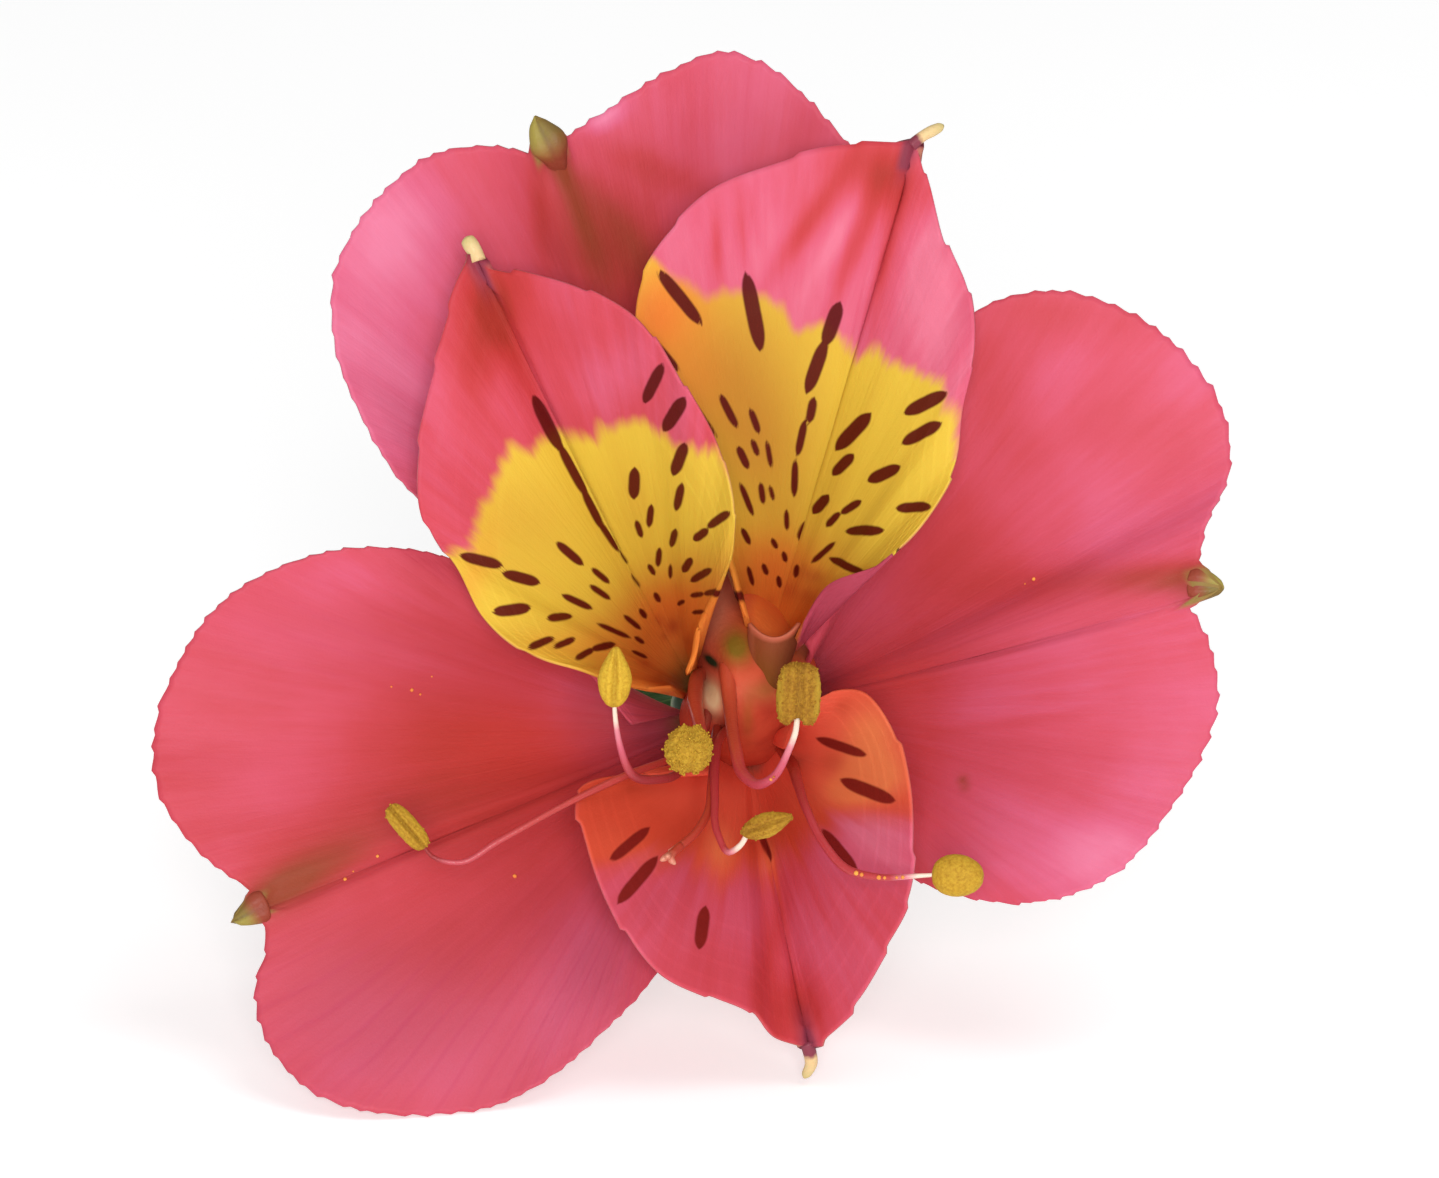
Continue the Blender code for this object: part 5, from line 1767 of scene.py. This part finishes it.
def finish_tepal(tree, shader, kind, colour, fibre, skin):
    span, start, depth = SKINS[kind][:3]
    bump(tree, shader, add(tree, fibre["Height"], times(tree, skin["Cells"], 0.25)), depth)
    gloss = stretch(tree, skin["Cells"], span, start)
    feed(tree, shader.inputs["Roughness"], stretch(tree, fibre["Fibre"], 0.1, gloss))
    feed(tree, shader.inputs["Base Color"], colour)
    soft_skin(shader, kind)


def outer_tepal_surface(groups):
    made, tree, shader, fibre, skin = blade_base("outer_tepal_petal", groups, PETAL_CELL)
    reach = calc(tree, "DIVIDE", read(tree, "reach"), OUTER_REACH)
    depth = ramp(tree, reach, [(position, (value,) * 3) for position, value in OUTER_DEPTH])
    # Deep patches add the tepal's deeper pinks together with painted shade and a painted
    # highlight.
    depth = add(tree, depth, read(tree, "deep"))
    for value, span in ((fibre["Fibre"], 0.16), (fibre["Tongue"], 0.3), (skin["Clouds"], 0.16)):
        depth = add(tree, depth, swing(tree, value, span))
    mauve = read(tree, "mauve")
    colour = mix_colours(tree, mauve, ramp(tree, depth, PINKS), MAUVE)
    # Coral from the warm patches: partly painted light in shaded places.
    colour = mix_colours(tree, read(tree, "warm"), colour, CORAL)
    streaky = times(tree, read(tree, "olive"), limit(tree, fibre["Tongue"], 0.1, 0.6))
    colour = mix_colours(tree, streaky, colour, BRONZE)
    veined = times(tree, times(tree, mauve, fibre["Vein"]), 0.35)
    colour = mix_colours(tree, veined, colour, MAUVE_VEIN)
    colour = finish_petal(tree, colour, fibre, MUCRO_GREEN, BRONZE)
    veined = times(tree, times(tree, fibre["Vein"], read(tree, "under")), 0.4)
    colour = mix_colours(tree, veined, colour, BACK_VEIN)
    finish_tepal(tree, shader, "outer_tepal", colour, fibre, skin)
    return made


def finish_petal(tree, colour, fibre, tip_colour, neck_colour):
    """Neck and mucro at the tip, greenish claw at the foot, and the paler under side."""
    under = read(tree, "under")
    colour = mix_colours(tree, times(tree, read(tree, "neck"), 0.8), colour, neck_colour)
    back = times(tree, under, limit(tree, read(tree, "reach"), 8.0, 16.0))
    colour = mix_colours(tree, times(tree, back, 0.5), colour, UNDER_PINK)
    keel = times(tree, limit(tree, read(tree, "rib"), 2.6, 0.2), under)
    colour = mix_colours(tree, times(tree, keel, 0.6), colour, CLAW_GREEN)
    claw = times(tree, read(tree, "claw"), limit(tree, fibre["Fibre"], -0.2, 0.6))
    colour = mix_colours(tree, claw, colour, CLAW_GREEN)
    return mix_colours(tree, limit(tree, read(tree, "mucro"), 0.05, 0.45), colour, tip_colour)


def inner_pink(tree, fibre):
    """The pink of an inner tepal, by how deep it is there."""
    depth = add(tree, read(tree, "deep"), swing(tree, fibre["Fibre"], 0.24))
    depth = add(tree, depth, swing(tree, fibre["Tongue"], 0.5))
    return mix_colours(tree, 1.0, ramp(tree, depth, PINKS), INNER_TINT, "MULTIPLY")


def zoned(tree, groups, outside, inside, fray, depth, blur):
    """One colour inside the golden or orange zone and another outside it, with a frayed edge."""
    values = {"Distance": read(tree, "gold"), "Fray": fray, "Fray Depth": depth, "Blur": blur}
    zone = place_group(tree, groups["feather"], values)
    return mix_colours(tree, zone["Mask"], outside, inside)


def streaked(tree, groups, colour, fibre, ink):
    """Nectar streaks and faint blotches over a colour."""
    inside = times(tree, read(tree, "mark"), -1.0)
    values = {"Distance": inside, "Fray": fibre["Fibre"], "Fray Depth": 0.08, "Blur": 0.09}
    streak = place_group(tree, groups["feather"], values)
    colour = mix_colours(tree, times(tree, read(tree, "blotch"), 0.75), colour, BLOTCH)
    return mix_colours(tree, times(tree, streak["Mask"], 0.98), colour, ink)


def inner_tepal_surface(groups):
    made, tree, shader, fibre, skin = blade_base("inner_tepal_petal", groups, PETAL_CELL)
    bright = limit(tree, read(tree, "reach"), *GOLD_REACH)
    gold = ramp(tree, add(tree, bright, swing(tree, fibre["Tongue"], 0.3)), GOLDS)
    # Olive gold is partly painted shade; warm gold is partly painted light, and the mouth gold is
    # painted light on the shaded mouth.
    gold = mix_colours(tree, read(tree, "olive"), gold, OLIVE_AND_SHADE_GOLD)
    gold = mix_colours(tree, read(tree, "warm"), gold, WARM_AND_LIT_GOLD)
    near = times(tree, limit(tree, read(tree, "reach"), *MOUTH_GOLD_REACH), 0.65)
    gold = mix_colours(tree, near, gold, LIT_MOUTH_GOLD)
    fray = stretch(tree, fibre["Fibre"], 0.25, times(tree, fibre["Tongue"], 0.75))
    colour = zoned(tree, groups, inner_pink(tree, fibre), gold, fray, 3.4, 0.6)
    colour = streaked(tree, groups, colour, fibre, STREAK)
    colour = finish_petal(tree, colour, fibre, NECK_PURPLE, NECK_PURPLE)
    behind = times(tree, read(tree, "mauve"), read(tree, "under"))
    colour = mix_colours(tree, behind, colour, BACK_MAUVE)
    finish_tepal(tree, shader, "inner_tepal", colour, fibre, skin)
    return made


def lower_tepal_surface(groups):
    made, tree, shader, fibre, skin = blade_base("lower_tepal_petal", groups, PETAL_CELL)
    heat = add(tree, read(tree, "warm"), swing(tree, fibre["Tongue"], 0.3))
    # Mouth orange: painted light on the shaded mouth of the lower tepal.
    near = limit(tree, read(tree, "reach"), *MOUTH_ORANGE_REACH)
    orange = mix_colours(tree, near, ramp(tree, heat, ORANGES), LIT_MOUTH_ORANGE)
    colour = zoned(tree, groups, inner_pink(tree, fibre), orange, fibre["Tongue"], 3.5, 1.3)
    colour = streaked(tree, groups, colour, fibre, LOWER_STREAK)
    colour = finish_petal(tree, colour, fibre, NECK_PURPLE, NECK_PURPLE)
    finish_tepal(tree, shader, "inner_tepal", colour, fibre, skin)
    return made


# Materials of the small parts and the green ones


def coloured_by_end(name, span, wander, stops, grain):
    """A surface coloured by how far its piece's end is, as a share of span in millimetres."""
    made, tree, shader = new_surface(name)
    place = place_on_object(tree)
    cloud = speckle(tree, place, grain)
    left = add(tree, read(tree, "left"), swing(tree, cloud, wander))
    colour = ramp(tree, calc(tree, "DIVIDE", left, span), stops)
    return made, tree, shader, place, cloud, colour


def filament_surface(name, stops):
    made, tree, shader, place, cloud, colour = coloured_by_end(
        name, FILAMENT_SPAN, 0.6, stops, 900.0
    )
    relief = speckle(tree, place, 4200.0, 2.0)
    finish_surface(tree, shader, "filament", colour, cloud, relief)
    return made


def point_surface():
    made, tree, shader, place, cloud, colour = coloured_by_end(
        "point_cream", POINT_SPAN, 0.5, POINT_STOPS, 1500.0
    )
    relief = speckle(tree, place, 3600.0)
    finish_surface(tree, shader, "point", colour, cloud, relief)
    return made


def hood_surface():
    """Olive green hood: paler on its left half, partly as painted light on its lit side; dark
    brown along its fold, painted shade in the crease; brown towards its neck.
    """
    made, tree, shader = new_surface("hood_olive")
    place = place_on_object(tree)
    cloud = speckle(tree, place, 1100.0)
    side = read(tree, "side")
    colour = mix_colours(tree, limit(tree, side, -0.7, 0.5), HOOD_BROWN, HOOD_GREEN)
    fold = limit(tree, calc(tree, "ABSOLUTE", side), 0.3, 0.0)
    colour = mix_colours(tree, times(tree, fold, 0.6), colour, HOOD_CREASE_SHADE)
    colour = mix_colours(tree, times(tree, cloud, 0.3), colour, HOOD_CLOUD)
    neck = limit(tree, read(tree, "along"), 0.72, 0.3)
    colour = mix_colours(tree, neck, colour, HOOD_NECK)
    relief = speckle(tree, place, 3600.0)
    finish_surface(tree, shader, "hood", colour, cloud, relief)
    return made


def throat_surface():
    """Coral throat with soft places of other tones, and one dark gap painted as shadow."""
    made, tree, shader = new_surface("throat_coral")
    place = place_on_object(tree)
    cloud = speckle(tree, place, 420.0)
    colour = ramp(tree, cloud, THROAT_CORALS)
    for field, tone in THROAT_TONES.items():
        colour = mix_colours(tree, read(tree, field), colour, tone)
    relief = speckle(tree, place, 2600.0)
    finish_surface(tree, shader, "throat", colour, cloud, relief)
    return made


def rolled_foot_surface():
    """The rolled foot: pale rose rim, then rose brown, darker to the right and mossy below."""
    made, tree, shader = new_surface("rolled_foot_rose")
    place = place_on_object(tree)
    cloud = speckle(tree, place, 500.0)
    along = read(tree, "along")
    side = read(tree, "side")
    colour = ramp(tree, along, ROLLED_FOOT_STOPS)
    pale = times(tree, limit(tree, side, -0.6, -0.98), 0.6)
    colour = mix_colours(tree, pale, colour, ROLLED_FOOT_PALE)
    dark = times(tree, limit(tree, side, -0.2, 0.95), limit(tree, along, 0.03, 0.1))
    colour = mix_colours(tree, times(tree, dark, 0.85), colour, ROLLED_FOOT_DARK)
    relief = speckle(tree, place, 2600.0)
    finish_surface(tree, shader, "rolled_foot", colour, cloud, relief)
    return made


def anther_surface(name, grainy):
    """Pollen from lemon to gold by its tone; on the sacs, darker slits and a bright rim."""
    made, tree, shader = new_surface(name)
    place = place_on_object(tree)
    grain = speckle(tree, place, 5200.0, 3.0, 0.65)
    cloud = speckle(tree, place, 900.0, 2.0)
    tone = add(tree, read(tree, "tone"), swing(tree, cloud, 0.5))
    colour = mix_colours(
        tree, tone, ramp(tree, grain, LEMON_POLLEN), ramp(tree, grain, GOLD_POLLEN)
    )
    if not grainy:
        colour = mix_colours(tree, times(tree, read(tree, "pit"), 0.55), colour, POLLEN_SLIT)
        rim = times(tree, limit(tree, read(tree, "edge"), 0.45, 0.85), tone)
        colour = mix_colours(tree, times(tree, rim, 0.6), colour, POLLEN_RIM)
    finish_surface(tree, shader, "anther", colour, grain, grain)
    return made


def fallen_pollen_surface():
    made, tree, shader = new_surface("fallen_pollen_orange")
    grain = speckle(tree, place_on_object(tree), 3000.0, 2.0)
    finish_surface(tree, shader, "loose_pollen", ramp(tree, grain, LOOSE_POLLEN), grain)
    return made


def ovary_surface():
    made, tree, shader = new_surface("ovary_green")
    place = place_on_object(tree)
    cloud = speckle(tree, place, 500.0, 4.0)
    rib = limit(tree, read(tree, "rib"), -1.0, 1.0, False)
    share = stretch(tree, cloud, 0.5, times(tree, rib, 0.5))
    colour = ramp(tree, share, OVARY_GREENS)
    # Painted shade on the ovary's top.
    colour = mix_colours(tree, read(tree, "shade"), colour, OVARY_PAINTED_SHADE)
    relief = speckle(tree, place, 3000.0)
    finish_surface(tree, shader, "ovary", colour, cloud, relief)
    return made


def stalk_surface():
    """Green stalk, flushed brown towards the bloom, with fine lengthwise lines; pale cut face."""
    made, tree, shader = new_surface("stalk_green")
    place = place_on_object(tree)
    split = tree.nodes.new("ShaderNodeSeparateXYZ")
    tree.links.new(place, split.inputs[0])
    back = split.outputs[1]
    drawn_out = tree.nodes.new("ShaderNodeVectorMath")
    drawn_out.operation = "MULTIPLY"
    tree.links.new(place, drawn_out.inputs[0])
    drawn_out.inputs[1].default_value = (1.0, 0.06, 1.0)
    lines = speckle(tree, drawn_out.outputs[0], 2600.0, 3.0, 0.6)
    cloud = speckle(tree, place, 160.0)
    flush = times(tree, limit(tree, back, *FLUSH_FROM_TO), limit(tree, cloud, 0.3, 0.7))
    colour = ramp(tree, lines, STALK_GREENS)
    colour = mix_colours(tree, times(tree, flush, 0.7), colour, STALK_FLUSH)
    pith = ramp(tree, speckle(tree, place, 2200.0), PITH)
    colour = mix_colours(tree, limit(tree, back, *CUT_FROM_TO), colour, pith)
    finish_surface(tree, shader, "stalk", colour, lines, lines)
    return made


def leaf_surface(groups):
    made, tree, shader, fibre, skin = blade_base("leaf_green", groups, LEAF_CELL)
    share = stretch(tree, skin["Clouds"], 0.5, times(tree, fibre["Fibre"], 0.5))
    colour = ramp(tree, share, LEAF_GREENS)
    colour = mix_colours(tree, times(tree, fibre["Vein"], 0.4), colour, LEAF_VEIN)
    midrib = limit(tree, read(tree, "rib"), 0.07, 0.01)
    colour = mix_colours(tree, times(tree, midrib, 0.6), colour, LEAF_MIDRIB)
    colour = mix_colours(tree, times(tree, read(tree, "under"), 0.5), colour, LEAF_BACK)
    relief = stretch(tree, skin["Cells"], 0.3, fibre["Height"])
    finish_surface(tree, shader, "leaf", colour, skin["Cells"], relief)
    return made


def floor_surface():
    made, tree, shader = new_surface("pale_floor")
    cloud = speckle(tree, place_on_object(tree), 3.0, 2.0)
    feed(tree, shader.inputs["Base Color"], ramp(tree, cloud, FLOOR_GREYS))
    feed(tree, shader.inputs["Roughness"], stretch(tree, cloud, 0.1, 0.8))
    shader.inputs["Specular IOR Level"].default_value = 0.1
    shader.inputs["Emission Color"].default_value = (1.0, 1.0, 1.0, 1.0)
    shader.inputs["Emission Strength"].default_value = FLOOR_GLOW
    return made


# Camera, light and floor


def camera():
    clear_selection()
    place = face_to_table(np.array(CAMERA_PLACE)) * MM
    bpy.ops.object.camera_add(location=place, rotation=(math.pi / 2 - FACE_TILT, 0.0, 0.0))
    made = bpy.context.object
    made.name = "camera"
    frame_width = FRAME_PIXELS[0] / PIXELS_PER_MM
    made.data.sensor_width = SENSOR_WIDTH
    made.data.lens = SENSOR_WIDTH * CAMERA_PLACE[2] / frame_width
    made.data.clip_start = 0.02
    made.data.clip_end = 20.0
    bpy.context.scene.camera = made


def soft_light(name, place, size, power):
    """A square lamp that looks at the bloom."""
    clear_selection()
    place = Vector(place)
    aim = Vector(FACE_CENTRE * MM)
    turn = (aim - place).to_track_quat("-Z", "Y").to_euler()
    bpy.ops.object.light_add(type="AREA", location=place, rotation=turn)
    made = bpy.context.object
    made.name = name
    made.data.shape = "SQUARE"
    made.data.size = size
    made.data.energy = power


def studio():
    clear_selection()
    bpy.ops.mesh.primitive_grid_add(x_subdivisions=8, y_subdivisions=8, size=FLOOR_SIZE)
    floor = name_piece("floor")
    floor.data.materials.append(floor_surface())
    world = bpy.data.worlds.new("studio_light")
    world.use_nodes = True
    sky = world.node_tree.nodes["Background"]
    sky.inputs["Color"].default_value = (1.0, 1.0, 1.0, 1.0)
    sky.inputs["Strength"].default_value = SKY_STRENGTH
    bpy.context.scene.world = world
    for name, (place, size, power) in LAMPS.items():
        soft_light(name, place, size, power)
    bpy.context.scene.view_settings.view_transform = "Standard"


def main():
    camera()
    studio()
    rng = np.random.default_rng(SEED)
    groups = {"fibres": fibre_group(), "skin": skin_group(), "feather": feather_group()}
    outer = outer_tepal_surface(groups)
    inner = inner_tepal_surface(groups)
    lower = lower_tepal_surface(groups)
    sheets = {}
    for name in TEPALS:
        slot = "outer_tepal" if name.startswith("outer") else "inner_tepal"
        surface = outer if slot == "outer_tepal" else inner
        if name == "inner_tepal_lower":
            surface = lower
        sheets[name] = tepal(name, surface, slot, rng)
    cream = point_surface()
    for name in POINTS:
        cream_point(name, cream)
    green_tip = hood_surface()
    for name in HOODS:
        hood(name, green_tip)
    throat_lining(throat_surface())
    rolled_foot(rolled_foot_surface())
    pink = filament_surface("filament_pink", PINK_STOPS)
    crimson = filament_surface("filament_crimson", CRIMSON_STOPS)
    faint = filament_surface("filament_faint", FAINT_STOPS)
    # The short filament's far part is painted shade.
    short = filament_surface("filament_pink_into_shade", SHORT_PINK_TO_SHADE_STOPS)
    tones = {1: short, 2: pink, 3: pink, 4: crimson, 5: faint, 6: crimson}
    sac = anther_surface("anther_sac", False)
    pollen = anther_surface("anther_pollen", True)
    for number in STAMENS:
        sheets[f"filament_{number}"] = filament(number, tones[number])
        anther(number, sac, pollen, rng)
    fallen_pollen(sheets, fallen_pollen_surface())
    style(filament_surface("style_coral", STYLE_STOPS))
    ovary(ovary_surface())
    green = stalk_surface()
    top, top_radius = PEDICEL_TOP
    stalk("pedicel", [(face_to_table(top), top_radius), *PEDICEL_PATH], green, False)
    stalk("stem", STEM_PATH, green, True)
    leafy = leaf_surface(groups)
    for name in LEAVES:
        leaf(name, leafy)


main()
